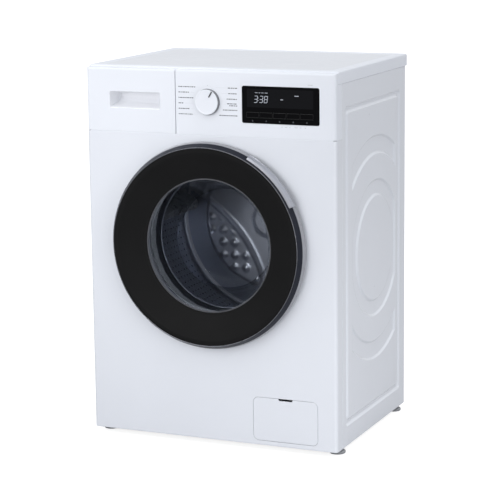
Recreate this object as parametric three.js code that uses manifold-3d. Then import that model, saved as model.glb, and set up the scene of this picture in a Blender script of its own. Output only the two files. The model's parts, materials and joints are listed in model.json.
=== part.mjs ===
// Front load washing machine, as an assembly of separate pieces.
//
// Units are millimetres and +Z is up. X runs to the right when the machine is seen from the front, and
// Y runs from the front to the rear. The origin is on the floor, under the middle of the whole object.
// Inside the cabinet group Y is counted from the outer face of the front panel, so a depth of 0 is that
// face, and the door, dial and keys stand in front of it at negative depths.

import * as THREE from 'three';
import { mergeVertices } from 'three/addons/utils/BufferGeometryUtils.js';
import Module from 'manifold-3d';

const wasm = await Module();
wasm.setup();

// ---------------------------------------------------------------- driving dimensions

const WIDTH = 600;
const HEIGHT = 850;
const BODY_DEPTH = 450; // front panel to rear flanges
const TOP_DEPTH = 464; // front panel to the worktop's rear edge
const DOOR_STAND = 36; // door surround in front of the panel
const ORIGIN_DEPTH = (TOP_DEPTH - DOOR_STAND) / 2; // depth of the origin behind the front panel

const FACETS = 30; // sides of the tub, drum and gasket, which line up
const DOOR_FACETS = 40; // sides of the door's rings
const SHEET = 1.2; // steel sheet thickness
const GAP = 0.3; // clearance between touching pieces
const SIDE_X = 299; // outer face of the side panels
const BODY_BOTTOM = 14;
const SEAM_Z = 703; // seam between front panel and control fascia
const WORKTOP_Z = 822.3; // underside of the worktop
const RETURN_DEPTH = 35; // how far front and fascia wrap round the sides
const CORNER_R = 8; // vertical front corners

const AXIS_Z = 459; // common height of the door and drum axis
const OPENING_R = 178; // door opening in the front panel
const SURROUND_R = 220; // outer edge of the dished door surround
const WINDOW_R = 150.6; // inner edge of the surround, round the bowl
const RING_R = 232; // widest part of the door ring, a narrow cone
const HANDLE_FROM = 26; // degrees from +X, seen from the front
const HANDLE_TO = 62.6;
const HINGE = { x: -220, y: -20 }; // door hinge axis, vertical
const HOOK = { x: 196, y: -18 }; // pivot of the door hook, vertical

const TUB_R = 246;
const TUB_WALL = 6;
const DRUM_R = 228;
const DRUM_MOUTH_R = 158;
const MOTOR = { x: 125, z: 140, r: 52 };
const DRUM_PULLEY_R = 130; // radius at which the belt runs
const MOTOR_PULLEY_R = 10;
const BELT_CLEARANCE = 0.8; // between the belt and either pulley
const BELT = { from: 400, to: 412, thick: 3.5 };

const DISPLAY = { x0: 81, x1: 261, z0: 734, z1: 815 };
const KEY = { count: 5, x0: 90.5, pitch: 31.5, width: 30.9, z0: 746, z1: 759 };
const DIAL = { x: 0, z: 777, r: 29, stand: 10 };
const DRAWER = { x0: -298.5, x1: -79 };
const RECESS = { x0: -240, x1: -116, z0: 757.6, z1: 792.5, depth: 50 };
const TRAY = { x0: -283, x1: -93, z0: 713, z1: 800, rear: 275 };
const FLAP = { x0: 99.5, x1: 254, z0: 23.5, z1: 124, r: 13, hingeY: 3, hingeZ: 37 };
const PUMP = { x: 177, z: 75 };
const FOOT = { x: 281, front: 50, rear: 424 };
const SPRING = { x: 222, y: 320, low: 642, high: 795, r: 13, wire: 3, turns: 6 };
const DAMPER = { x: 200, y: 225 };

const INLET = { x: -230, z: 780 }; // water inlet on the rear
const MAINS = { x: 230, z: 775 }; // cord gland on the rear
const OUTLET = { x: 230, z: 715 }; // drain outlet on the rear

// ---------------------------------------------------------------- materials

function material(color, roughness, metalness = 0) {
  return () => new THREE.MeshStandardMaterial({ color, roughness, metalness });
}

const enamel = material(0xe9ecf3, 0.35);
const whitePlastic = material(0xeceff6, 0.4);
const greyPlastic = material(0x8a8d92, 0.5);
const darkPlastic = material(0x35373b, 0.45);
const silverPlastic = material(0xb9bcc2, 0.3, 0.6);
const blackGlass = material(0x15161a, 0.08);
const glossBlack = material(0x17181b, 0.15);
const clearGlass = material(0x9fb0b8, 0.05);
const steel = material(0xb8babd, 0.3, 0.9);
const castAlloy = material(0x9a9c9f, 0.5, 0.8);
const galvanised = material(0xaeb2b5, 0.45, 0.7);
const rubber = material(0x6b6e72, 0.7);
const blackRubber = material(0x222326, 0.8);
const concrete = material(0x9b978f, 0.95);
const boardGreen = material(0x2d5a3c, 0.6);
const tubPlastic = material(0xc8cbcf, 0.6);

// ---------------------------------------------------------------- solids

function solid(geometry) {
  geometry.deleteAttribute('normal');
  geometry.deleteAttribute('uv');
  const merged = mergeVertices(geometry, 1e-4);
  const index = merged.index.array;
  const triangles = [];
  for (let i = 0; i < index.length; i += 3) {
    const [a, b, c] = [index[i], index[i + 1], index[i + 2]];
    if (a !== b && b !== c && c !== a) triangles.push(a, b, c);
  }
  const mesh = new wasm.Mesh({
    numProp: 3,
    vertProperties: new Float32Array(merged.attributes.position.array),
    triVerts: new Uint32Array(triangles),
  });
  return new wasm.Manifold(mesh);
}

function join(first, ...others) {
  return others.reduce((whole, other) => whole.add(other), first);
}

function cut(first, ...others) {
  return others.reduce((whole, other) => whole.subtract(other), first);
}

function moved(shape, x, y, z) {
  return shape.translate([x, y, z]);
}

function geometryOf(shape) {
  const mesh = shape.getMesh();
  const geometry = new THREE.BufferGeometry();
  geometry.setAttribute('position', new THREE.BufferAttribute(new Float32Array(mesh.vertProperties), 3));
  geometry.setIndex(new THREE.BufferAttribute(new Uint32Array(mesh.triVerts), 1));
  return geometry;
}

function block(x0, x1, y0, y1, z0, z1) {
  const geometry = new THREE.BoxGeometry(x1 - x0, y1 - y0, z1 - z0);
  return solid(geometry.translate((x0 + x1) / 2, (y0 + y1) / 2, (z0 + z1) / 2));
}

// round bars along each axis
function barY(radius, y0, y1, x = 0, z = 0, segments = 24) {
  const geometry = new THREE.CylinderGeometry(radius, radius, y1 - y0, segments);
  return solid(geometry.translate(x, (y0 + y1) / 2, z));
}

function barZ(radius, z0, z1, x = 0, y = 0, segments = 24) {
  const geometry = new THREE.CylinderGeometry(radius, radius, z1 - z0, segments);
  return solid(geometry.rotateX(Math.PI / 2).translate(x, y, (z0 + z1) / 2));
}

function barX(radius, x0, x1, y = 0, z = 0, segments = 24) {
  const geometry = new THREE.CylinderGeometry(radius, radius, x1 - x0, segments);
  return solid(geometry.rotateZ(Math.PI / 2).translate((x0 + x1) / 2, y, z));
}

// A body of revolution about the Y axis. Its profile is a list of [radius, depth] pairs, which closes
// on itself or along the axis, and is wound so that its faces point out.
function turned(profile, segments = 48) {
  const points = profile.map(([radius, depth]) => new THREE.Vector2(radius, depth));
  if (THREE.ShapeUtils.area(points) < 0) points.reverse();
  const onAxis = points.some((point) => point.x === 0);
  if (onAxis) {
    while (points[0].x !== 0 || points[points.length - 1].x !== 0) points.push(points.shift());
  } else {
    points.push(points[0].clone());
  }
  return solid(new THREE.LatheGeometry(points, segments));
}

// A flat outline drawn in X and Z, made solid from depth y0 to depth y1.
function slabY(shape, y0, y1, curveSegments = 3) {
  const geometry = new THREE.ExtrudeGeometry(shape, { depth: y1 - y0, bevelEnabled: false, curveSegments });
  return solid(geometry.rotateX(Math.PI / 2).translate(0, y1, 0));
}

// A flat outline drawn in X and Y, made solid from height z0 to height z1.
function slabZ(shape, z0, z1, curveSegments = 2) {
  const geometry = new THREE.ExtrudeGeometry(shape, { depth: z1 - z0, bevelEnabled: false, curveSegments });
  return solid(geometry.translate(0, 0, z0));
}

// A flat outline drawn in Y and Z, made solid from x0 to x1.
function slabX(shape, x0, x1, curveSegments = 2) {
  const geometry = new THREE.ExtrudeGeometry(shape, { depth: x1 - x0, bevelEnabled: false, curveSegments });
  const turn = new THREE.Matrix4().makeBasis(
    new THREE.Vector3(0, 1, 0),
    new THREE.Vector3(0, 0, 1),
    new THREE.Vector3(1, 0, 0),
  );
  return solid(geometry.applyMatrix4(turn).translate(x0, 0, 0));
}

function roundedRect(u0, u1, v0, v1, r) {
  const shape = new THREE.Shape();
  shape.moveTo(u0 + r, v0);
  shape.lineTo(u1 - r, v0);
  shape.absarc(u1 - r, v0 + r, r, -Math.PI / 2, 0, false);
  shape.lineTo(u1, v1 - r);
  shape.absarc(u1 - r, v1 - r, r, 0, Math.PI / 2, false);
  shape.lineTo(u0 + r, v1);
  shape.absarc(u0 + r, v1 - r, r, Math.PI / 2, Math.PI, false);
  shape.lineTo(u0, v0 + r);
  shape.absarc(u0 + r, v0 + r, r, Math.PI, Math.PI * 1.5, false);
  return shape;
}

function ringSector(inner, outer, fromDegrees, toDegrees) {
  const from = THREE.MathUtils.degToRad(fromDegrees);
  const to = THREE.MathUtils.degToRad(toDegrees);
  const shape = new THREE.Shape();
  shape.absarc(0, 0, outer, from, to, false);
  shape.absarc(0, 0, inner, to, from, true);
  return shape;
}

function polygon(...points) {
  return new THREE.Shape(points.map(([u, v]) => new THREE.Vector2(u, v)));
}

function pipe(points, radius, steps, sides = 8) {
  const path = new THREE.CatmullRomCurve3(points.map((point) => new THREE.Vector3(...point)));
  const section = new THREE.Shape();
  section.absarc(0, 0, radius, 0, Math.PI * 2, false);
  const options = { steps, bevelEnabled: false, extrudePath: path, curveSegments: sides / 2 };
  return solid(new THREE.ExtrudeGeometry(section, options));
}

// ---------------------------------------------------------------- scene graph

const machine = new THREE.Group();
const cabinet = new THREE.Group(); // Y is depth behind the front panel
cabinet.position.y = -ORIGIN_DEPTH;
const axle = new THREE.Group(); // centred on the door and drum axis
axle.position.z = AXIS_Z;
machine.add(cabinet);
cabinet.add(axle);

function place(name, parent, shape, finish, position = [0, 0, 0]) {
  const mesh = new THREE.Mesh(geometryOf(shape), finish());
  mesh.name = name;
  mesh.position.set(...position);
  parent.add(mesh);
}

// ---------------------------------------------------------------- cabinet

// Outline of a sheet that runs across the front and wraps round both sides.
function wrapOutline(inset, depth) {
  const x = SIDE_X - inset;
  const r = CORNER_R - inset;
  const shape = new THREE.Shape();
  shape.moveTo(-x, depth);
  shape.lineTo(-x, inset + r);
  shape.absarc(-x + r, inset + r, r, Math.PI, Math.PI * 1.5, false);
  shape.lineTo(x - r, inset);
  shape.absarc(x - r, inset + r, r, Math.PI * 1.5, Math.PI * 2, false);
  shape.lineTo(x, depth);
  return shape;
}

function frontPanel() {
  const top = SEAM_Z - 0.5;
  const outside = slabZ(wrapOutline(0, RETURN_DEPTH), BODY_BOTTOM, top);
  const inside = slabZ(wrapOutline(SHEET, RETURN_DEPTH + 1), BODY_BOTTOM + SHEET, top - SHEET);
  const behindReturns = block(-WIDTH, WIDTH, 10, WIDTH, BODY_BOTTOM - 1, BODY_BOTTOM + SHEET + 0.1);
  const keepSides = cut(behindReturns, block(-WIDTH, -SIDE_X + SHEET, 0, WIDTH, 0, 60),
    block(SIDE_X - SHEET, WIDTH, 0, WIDTH, 0, 60));
  const collar = moved(turned([[OPENING_R, 0.4], [OPENING_R + SHEET, 0.4], [OPENING_R + SHEET, 10],
    [OPENING_R, 10]], 48), 0, 0, AXIS_Z);
  const hole = barY(OPENING_R, -5, 20, 0, AXIS_Z, 48);
  const flapHole = slabY(roundedRect(FLAP.x0, FLAP.x1, FLAP.z0, FLAP.z1, FLAP.r), -5, 8);
  const armSlots = [-1, 1].map((side) => {
    const z = AXIS_Z + side * 21.5;
    return block(HINGE.x + 17.5, HINGE.x + 28.5, -5, 5, z - 3.2, z + 3.2);
  });
  const hookSlot = block(HOOK.x - 8, HOOK.x + 10, -5, 5, AXIS_Z - 8, AXIS_Z + 8);
  return cut(join(cut(outside, inside, keepSides), collar), hole, flapHole, ...armSlots, hookSlot);
}

// The pressed grooves of a side panel, as flat outlines in depth and height: a long rounded frame, and
// bands of two rings about one centre, which end on two upright lines. The inset narrows each groove.
function grooveSolids(inset, x0, x1) {
  const frame = cut(
    slabX(roundedRect(54 + inset, 415 - inset, 58 + inset, 772 - inset, 9), x0, x1),
    slabX(roundedRect(71 - inset, 398 + inset, 76 - inset, 755 + inset, 5), x0 - 1, x1 + 1, 1),
  );
  const strip = block(x0 - 1, x1 + 1, 96 + inset, 384 - inset, 100, 760);
  const bands = [[118, 158], [213, 258]].map(([inner, outer]) => {
    const disc = barX(outer - inset, x0, x1, 250, 429, 28);
    const ring = cut(disc, barX(inner + inset, x0 - 1, x1 + 1, 250, 429, 20));
    return ring.intersect(strip);
  });
  return join(frame, ...bands);
}

function sidePanel(side) {
  const front = RETURN_DEPTH + 0.5;
  const inner = SIDE_X - SHEET;
  const plate = block(inner, SIDE_X, front, BODY_DEPTH, BODY_BOTTOM, 822);
  const rearFlange = block(SIDE_X - 19, SIDE_X, BODY_DEPTH - SHEET, BODY_DEPTH, BODY_BOTTOM, 822);
  const topFlange = block(SIDE_X - 14, SIDE_X, front, BODY_DEPTH, 822 - SHEET, 822);
  const hanger = block(SPRING.x - 7, SIDE_X, SPRING.y - 8, SPRING.y + 8, SPRING.high + GAP, SPRING.high + 4);
  const groove = 4;
  const pressed = grooveSolids(0, inner - groove, inner + 0.1);
  const hollow = grooveSolids(SHEET, inner - groove + SHEET, SIDE_X + 1);
  const panel = cut(join(plate, rearFlange, topFlange, hanger, pressed), hollow);
  return side > 0 ? panel : panel.mirror([1, 0, 0]);
}

function rearPanel() {
  const y0 = BODY_DEPTH - 2 * SHEET - 0.3;
  const sheet = block(-296, 296, y0, y0 + SHEET, 16, 820.4);
  const access = slabY(roundedRect(-165, 165, 295, 625, 20), y0 - 5, y0 + 5);
  const holes = [[INLET, 15.5], [MAINS, 11], [OUTLET, 13]].map(([place, r]) => (
    barY(r, y0 - 5, y0 + 5, place.x, place.z, 16)));
  return cut(sheet, access, ...holes);
}

function rearAccessCover() {
  const y0 = BODY_DEPTH - SHEET;
  const flat = slabY(roundedRect(-182, 182, 278, 642, 14), y0, y0 + SHEET, 2);
  const raised = slabY(roundedRect(-155, 155, 305, 615, 24), y0 + 0.5, y0 + 6);
  const hollow = slabY(roundedRect(-153.8, 153.8, 306.2, 613.8, 23), y0 - 1, y0 + 6 - SHEET);
  return cut(join(flat, raised), hollow);
}

function basePan() {
  const pan = cut(block(-296, 296, 8, 446, 16, 38), block(-292, 292, 12, 442, 20, 60));
  const feet = [-1, 1].flatMap((side) => [FOOT.front, FOOT.rear].map((y) => [side * FOOT.x, y]));
  const bosses = feet.map(([x, y]) => barZ(13, 17, 38, x, y, 8));
  const holes = feet.map(([x, y]) => barZ(5.4, 10, 50, x, y, 8));
  const flapGap = block(FLAP.x0 - 5, FLAP.x1 + 5, 7, 12.5, 22, 39);
  return cut(join(pan, ...bosses), flapGap, ...holes);
}

function worktop() {
  const front = 15;
  const edge = roundedRect(-300, 300, front, TOP_DEPTH, 6);
  const body = slabZ(edge, WORKTOP_Z, HEIGHT - 3);
  const upper = slabZ(roundedRect(-298.5, 298.5, front + 1, TOP_DEPTH - 1.5, 6), HEIGHT - 4, HEIGHT);
  const under = block(-296, 296, front + 4, TOP_DEPTH - 4, WORKTOP_Z - 1, HEIGHT - 6);
  const field = slabZ(roundedRect(-274, 274, front + 24, TOP_DEPTH - 26, 8), HEIGHT - 1, HEIGHT + 5);
  return cut(join(body, upper), under, field);
}

function foot() {
  return turnedUp([[0, 0], [16.5, 0], [18, 1.5], [18, 5.5], [13, 8.5], [8, 9.5], [8, 15], [4.6, 15],
    [4.6, 34], [0, 34]], 10);
}

// The same as turned, but about the Z axis.
function turnedUp(profile, segments) {
  return turned(profile, segments).rotate([90, 0, 0]);
}

function buildCabinet() {
  place('base_pan', cabinet, basePan(), galvanised);
  place('left_side_panel', cabinet, sidePanel(-1), enamel);
  place('right_side_panel', cabinet, sidePanel(1), enamel);
  place('front_panel', cabinet, frontPanel(), enamel);
  place('rear_panel', cabinet, rearPanel(), enamel);
  place('rear_access_cover', cabinet, rearAccessCover(), enamel);
  place('worktop', cabinet, worktop(), whitePlastic);
  place('foot_front_left', cabinet, foot(), blackRubber, [-FOOT.x, FOOT.front, 0]);
  place('foot_front_right', cabinet, foot(), blackRubber, [FOOT.x, FOOT.front, 0]);
  place('foot_rear_left', cabinet, foot(), blackRubber, [-FOOT.x, FOOT.rear, 0]);
  place('foot_rear_right', cabinet, foot(), blackRubber, [FOOT.x, FOOT.rear, 0]);
}

// ---------------------------------------------------------------- control fascia

// The fascia's wall seen from above. It runs across the front, steps back behind the drawer front at
// the left, and wraps round both sides.
function fasciaWall() {
  const wall = 3;
  const left = DRAWER.x1 + 1.5;
  const shape = new THREE.Shape();
  shape.moveTo(-SIDE_X, RETURN_DEPTH);
  shape.lineTo(-SIDE_X, 16);
  shape.lineTo(left, 16);
  shape.lineTo(left, 0);
  shape.lineTo(SIDE_X - CORNER_R, 0);
  shape.absarc(SIDE_X - CORNER_R, CORNER_R, CORNER_R, Math.PI * 1.5, Math.PI * 2, false);
  shape.lineTo(SIDE_X, RETURN_DEPTH);
  shape.lineTo(SIDE_X - wall, RETURN_DEPTH);
  shape.lineTo(SIDE_X - wall, CORNER_R);
  shape.absarc(SIDE_X - CORNER_R, CORNER_R, CORNER_R - wall, Math.PI * 2, Math.PI * 1.5, true);
  shape.lineTo(left + wall, wall);
  shape.lineTo(left + wall, 16 + wall);
  shape.lineTo(-SIDE_X + wall, 16 + wall);
  shape.lineTo(-SIDE_X + wall, RETURN_DEPTH);
  return shape;
}

function controlFascia() {
  const bottom = SEAM_Z + 0.5;
  const top = HEIGHT - 4;
  const left = DRAWER.x1 + 1.5;
  const lower = slabZ(fasciaWall(), bottom, 822);
  const aboveSides = cut(slabZ(fasciaWall(), 821, top), block(-WIDTH, WIDTH, 14.6, WIDTH, 820, 900),
    block(-WIDTH, left, -5, WIDTH, 820, 900));
  const lid = slabZ(wrapOutline(0, 14.6), top - 3, top);
  const lidRight = cut(lid, block(-WIDTH, left, -5, 60, 800, 900));
  const sill = block(left, SIDE_X - 2, 1, 30, bottom, bottom + 2.5);
  const window = block(DISPLAY.x0, DISPLAY.x1, -5, 8, DISPLAY.z0, DISPLAY.z1);
  const dialHole = barY(9, -5, 8, DIAL.x, DIAL.z, 20);
  const trayHole = block(TRAY.x0 - 2, TRAY.x1 + 2, 14, 25, TRAY.z0 - 2.5, TRAY.z1 + 7);
  return cut(join(lower, aboveSides, lidRight, sill), window, dialHole, trayHole);
}

function keyCentre(number) {
  return KEY.x0 + KEY.pitch * (number - 0.5);
}

function displayWindow() {
  const { x0, x1, z0, z1 } = DISPLAY;
  const face = slabY(roundedRect(x0 + 0.4, x1 - 0.4, z0 + 0.4, z1 - 0.4, 4), -0.5, 4.5, 2);
  const rim = block(x0 - 4, x1 + 4, 3 + GAP, 4.5, z0 - 4, z1 + 4);
  const keysEnd = KEY.x0 + KEY.pitch * KEY.count;
  const keySlot = block(KEY.x0 - 0.5, keysEnd + 0.5, -5, 8, KEY.z0 - 0.5, KEY.z1 + 0.5);
  return cut(join(face, rim), keySlot);
}

function key() {
  const cap = block(-KEY.width / 2, KEY.width / 2, -0.9, 3, KEY.z0, KEY.z1);
  const stem = barY(2.5, 2, 10.6, 0, (KEY.z0 + KEY.z1) / 2, 8);
  return join(cap, stem);
}

function controlBoard() {
  const board = block(-30, 262, 22, 23.6, 728, 818);
  const module = block(95, 245, 8, 22.5, 768, 810);
  const encoder = block(-14, 14, 10, 22.5, DIAL.z - 14, DIAL.z + 14);
  const switches = Array.from({ length: KEY.count }, (unused, i) => {
    const x = keyCentre(i + 1);
    const z = (KEY.z0 + KEY.z1) / 2;
    return block(x - 4, x + 4, 12, 22.5, z - 4, z + 4);
  });
  return join(board, module, encoder, ...switches);
}

function programDial() {
  const { r, stand } = DIAL;
  return turned([[0, -stand], [r - 3, -stand], [r - 1.6, -stand + 1.4], [r, -2.4], [r, -1.2], [7, -1.2],
    [7, 6], [3, 6], [3, 9.7], [0, 9.7]], 24);
}

function buildFascia() {
  place('control_fascia', cabinet, controlFascia(), whitePlastic);
  place('display_window', cabinet, displayWindow(), blackGlass);
  place('control_board', cabinet, controlBoard(), boardGreen);
  for (let number = 1; number <= KEY.count; number += 1) {
    place(`key_${number}`, cabinet, key(), blackGlass, [keyCentre(number), 0, 0]);
  }
  place('program_dial', cabinet, programDial(), whitePlastic, [DIAL.x, 0, DIAL.z]);
}

// ---------------------------------------------------------------- detergent drawer

function drawerFront() {
  const { x0, x1 } = DRAWER;
  const bottom = SEAM_Z + 1.5;
  const top = HEIGHT - 4.5;
  const right = SIDE_X - CORNER_R;
  const outline = (inset, depth) => {
    const r = CORNER_R - inset;
    const shape = new THREE.Shape();
    shape.moveTo(x0 + inset, depth);
    shape.lineTo(x0 + inset, CORNER_R);
    shape.absarc(x0 + CORNER_R, CORNER_R, r, Math.PI, Math.PI * 1.5, false);
    shape.lineTo(x1 - inset * 0.8, inset);
    shape.lineTo(x1 - inset * 0.8, depth);
    return shape;
  };
  const shell = cut(slabZ(outline(0, 14.6), bottom, top), slabZ(outline(3, 20), bottom + 3, top - 3));
  const { x0: a, x1: b, z0, z1, depth } = RECESS;
  const pocket = block(a - 2, b + 2, 1, depth + 2, z0 - 2, z1 + 2);
  const recess = block(a, b, -5, depth, z0, z1);
  return cut(join(shell, pocket), recess);
}

function drawerTray() {
  const { x0, x1, z0, z1, rear } = TRAY;
  const front = 3 + GAP + 0.3;
  const body = block(x0, x1, front, rear, z0, z1);
  const inside = (from, to, y0, y1) => block(from, to, y0, y1, z0 + 2, z1 + 5);
  const footwell = cut(inside(x0 + 2, x1 - 2, front - 5, RECESS.depth + 4));
  const upperFront = block(x0 - 1, x1 + 1, front - 5, RECESS.depth + 4, 745, z1 + 5);
  const cells = [
    inside(x0 + 2, -216, 56, rear - 2),
    inside(-214, -151, 56, rear - 2),
    inside(-149, x1 - 2, 56, rear - 2),
  ];
  const cornerClear = block(x0 - 1, x0 + 14, front - 5, 16, z0 - 1, z0 + 5);
  return cut(body, footwell, upperFront, ...cells, cornerClear);
}

function dispenserHousing() {
  const rear = TRAY.rear + 15;
  const outer = block(-288, -88, 21, rear, 708.5, 812);
  const inner = block(-286, -90, 19, rear - 2, 710.5, 809.5);
  const spout = barZ(16, 692, 709, -140, 240, 16);
  const bore = barZ(13, 690, 720, -140, 240, 16);
  return cut(join(outer, spout), inner, bore);
}

function buildDrawer() {
  place('drawer_front', cabinet, drawerFront(), whitePlastic);
  place('drawer_tray', cabinet, drawerTray(), whitePlastic);
  place('dispenser_housing', cabinet, dispenserHousing(), greyPlastic);
}

// ---------------------------------------------------------------- door

function doorRing() {
  const body = turned([[207.2, -32.6], [220.6, -32.6], [220.6, -34.8], [222.4, -34.8], [229, -22],
    [RING_R, -12], [229.5, -6], [207.2, -6]], DOOR_FACETS);
  const hollow = turned([[210, -29.5], [222, -29.5], [226.6, -21], [229, -12], [227, -3], [210, -3]],
    DOOR_FACETS);
  const grip = slabY(ringSector(214, 240, HANDLE_FROM - 0.1, HANDLE_TO + 0.1), -40, 0, 4);
  const gripWall = slabY(ringSector(211, 214.5, HANDLE_FROM - 1.2, HANDLE_TO + 1.2), -30, -6.2, 4);
  const gripEnds = [[HANDLE_FROM - 1.2, HANDLE_FROM], [HANDLE_TO, HANDLE_TO + 1.2]].map(([from, to]) => (
    slabY(ringSector(211, 231, from, to), -29.6, -8, 1)));
  const hingePocket = block(-226.8, -190, -27, 5, -33, 33);
  const hingeTrim = block(-240, -190, -16, 5, -33, 33);
  const shell = join(cut(body, hollow), gripWall, ...gripEnds.map((end) => end.intersect(body)));
  return cut(shell, grip, hingePocket, hingeTrim);
}

function doorHandle() {
  const sector = slabY(ringSector(214.4, 246, HANDLE_FROM + 0.05, HANDLE_TO - 0.05), -40, 0, 4);
  const bar = turned([[214.8, -32.3], [220.9, -32.3], [220.9, -35], [226, -34.8], [232, -32],
    [235.5, -24], [234, -15], [229, -13.5], [229.5, -26], [225, -29], [214.8, -29.5]], DOOR_FACETS);
  return bar.intersect(sector);
}

// A ring dished towards the bowl. The back of its slope is also the front limit of the inner frame.
const SLOPE_TOP = { r: 210, backR: 206.9, front: -36, back: -33 };
const SLOPE_FOOT = { r: 156, front: -13, back: -10.2 };

function doorSurround() {
  return turned([[SURROUND_R, -33], [SURROUND_R, -34.8], [218.4, -36], [SLOPE_TOP.r, SLOPE_TOP.front],
    [SLOPE_FOOT.r, SLOPE_FOOT.front], [WINDOW_R, -12], [WINDOW_R, -9.3], [154, -9.3],
    [SLOPE_FOOT.r, SLOPE_FOOT.back], [SLOPE_TOP.backR, SLOPE_TOP.back]], DOOR_FACETS);
}

function spaceInFrontOfFrame() {
  return turned([[0, -60], [250, -60], [250, SLOPE_TOP.back + GAP], [SLOPE_TOP.backR, SLOPE_TOP.back + GAP],
    [SLOPE_FOOT.r, SLOPE_FOOT.back + GAP], [154, -9.3 + GAP], [0, -9.3 + GAP]], DOOR_FACETS);
}

function doorBowl() {
  return turned([[0, 110], [98, 107], [114, 99], [121, 86], [146, -3], [153, -4], [153, -9],
    [143, -9], [117, 84], [110, 95], [96, 102.5], [0, 105.5]], FACETS);
}

function doorInnerFrame() {
  const channel = turned([[153.8, -12], [153.8, -1.5], [199, -1.5], [206.5, -8], [206.5, -32.6],
    [203.5, -32.6], [203.5, -9.5], [198, -4.5], [156.8, -4.5], [156.8, -12]], DOOR_FACETS);
  const armSweep = barZ(44, -24.6, 24.6, HINGE.x, HINGE.y, 24);
  const lugs = [-1, 1].map((side) => {
    const [low, high] = side > 0 ? [24.4, 30] : [-30, -24.4];
    const eye = barZ(5.5, low, high, HINGE.x, HINGE.y, 12);
    const plate = block(HINGE.x, -198, HINGE.y - 5.5, HINGE.y + 5.5, low, high);
    return cut(join(eye, plate), barZ(3.4, -60, 60, HINGE.x, HINGE.y, 12));
  });
  const hookPocket = block(HOOK.x - 9, HOOK.x + 12, -40, 5, -8.5, 8.5);
  const hookWell = cut(block(HOOK.x - 12, HOOK.x + 7.4, -31, -5, -11, 11), hookPocket);
  const hookPin = barZ(2, -10, 10, HOOK.x, HOOK.y, 12);
  return cut(join(cut(channel, armSweep, hookPocket), ...lugs, hookWell, hookPin), spaceInFrontOfFrame());
}

function doorHook() {
  const lever = block(HOOK.x - 3, HOOK.x + 3, HOOK.y, 12, -6, 6);
  const nose = block(HOOK.x + 2, HOOK.x + 7, 7, 12, -6, 6);
  const eye = barZ(5, -6, 6, HOOK.x, HOOK.y, 12);
  return cut(join(lever, nose, eye), barZ(2.4, -20, 20, HOOK.x, HOOK.y, 12));
}

function hingeBracket() {
  const plate = block(-242, -188, SHEET + 0.4, SHEET + 3.4, -50, 50);
  const pin = barZ(3, -32, 32, HINGE.x, HINGE.y, 12);
  const arms = [-1, 1].map((side) => {
    const [low, high] = side > 0 ? [19, 24] : [-24, -19];
    const eye = barZ(5.5, low, high, HINGE.x, HINGE.y, 12);
    const reach = block(HINGE.x, HINGE.x + 26, HINGE.y - 2, HINGE.y + 2, low, high);
    const leg = block(HINGE.x + 20, HINGE.x + 26, HINGE.y - 2, 3, low, high);
    return join(eye, reach, leg);
  });
  return join(plate, pin, ...arms);
}

function doorLock() {
  const body = block(190, 238, SHEET + 0.4, 42, -45, 45);
  return cut(body, block(185, 209, 0, 26, -9, 9));
}

function doorGasket() {
  return turned([[150, 4], [163, 1.6], [177.6, 1.6], [177.6, 12], [186, 22], [174, 34], [174, 58],
    [169.4, 58], [169.4, 32], [181, 22], [166, 10], [152, 7.4]], FACETS);
}

function buildDoor() {
  place('door_ring', axle, doorRing(), darkPlastic);
  place('door_surround', axle, doorSurround(), glossBlack);
  place('door_bowl', axle, doorBowl(), clearGlass);
  place('door_inner_frame', axle, doorInnerFrame(), greyPlastic);
  place('door_handle', axle, doorHandle(), silverPlastic);
  place('door_hook', axle, doorHook(), steel);
  place('hinge_bracket', axle, hingeBracket(), steel);
  place('door_lock', axle, doorLock(), greyPlastic);
  place('door_gasket', axle, doorGasket(), rubber);
}

// ---------------------------------------------------------------- tub and suspension

function tubFront() {
  const inner = TUB_R - TUB_WALL;
  return turned([[166, 46], [169, 46], [169, 62], [TUB_R, 62], [TUB_R, 188], [254, 188], [254, 199.7],
    [inner, 199.7], [inner, 66], [166, 66]], FACETS);
}

function tubRear() {
  const inner = TUB_R - TUB_WALL;
  const shell = turned([[254, 200], [254, 206], [TUB_R, 206], [TUB_R, 374], [38, 374], [38, 392], [26.5, 392],
    [26.5, 368], [inner, 368], [inner, 200]], FACETS);
  const chamber = barY(inner, 201, 367, 0, 0, FACETS);
  const sump = cut(block(-75, 75, 215, 335, -276, -228), block(-71, 71, 219, 331, -272, -220), chamber);
  const sumpMouth = block(-71, 71, 219, 331, -272, -200);
  const spout = barZ(17, -296, -275, 40, 300, 16);
  const spoutBore = barZ(13, -300, -260, 40, 300, 16);
  const lugs = [-1, 1].flatMap((side) => [
    sideBlock(side, 180, 231, SPRING.y - 12, SPRING.y + 12, 160, SPRING.low - AXIS_Z - GAP),
    sideBlock(side, 184, 216, DAMPER.y - 11, DAMPER.y + 11, -188, -140),
  ]);
  const arms = lugs.map((lug) => cut(lug, chamber));
  return cut(join(shell, sump, spout, ...arms), sumpMouth, spoutBore);
}

// A block given for the right side, on the side named by the sign.
function sideBlock(side, x0, x1, y0, y1, z0, z1) {
  return side > 0 ? block(x0, x1, y0, y1, z0, z1) : block(-x1, -x0, y0, y1, z0, z1);
}

function counterweight() {
  const radius = TUB_R + GAP + 0.5;
  const slab = block(-70, 170, 212, 340, 150, 318);
  return cut(slab, barY(radius, 200, 360, 0, 0, FACETS));
}

function heater() {
  const z = -262;
  const bar = (x) => barY(4, 236, 328, x, z, 10);
  const loop = block(-44, 44, 232, 240, z - 4, z + 4);
  const flange = block(-60, 60, 327, 330.5, -270, -250);
  return join(bar(-40), bar(40), loop, flange);
}

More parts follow.
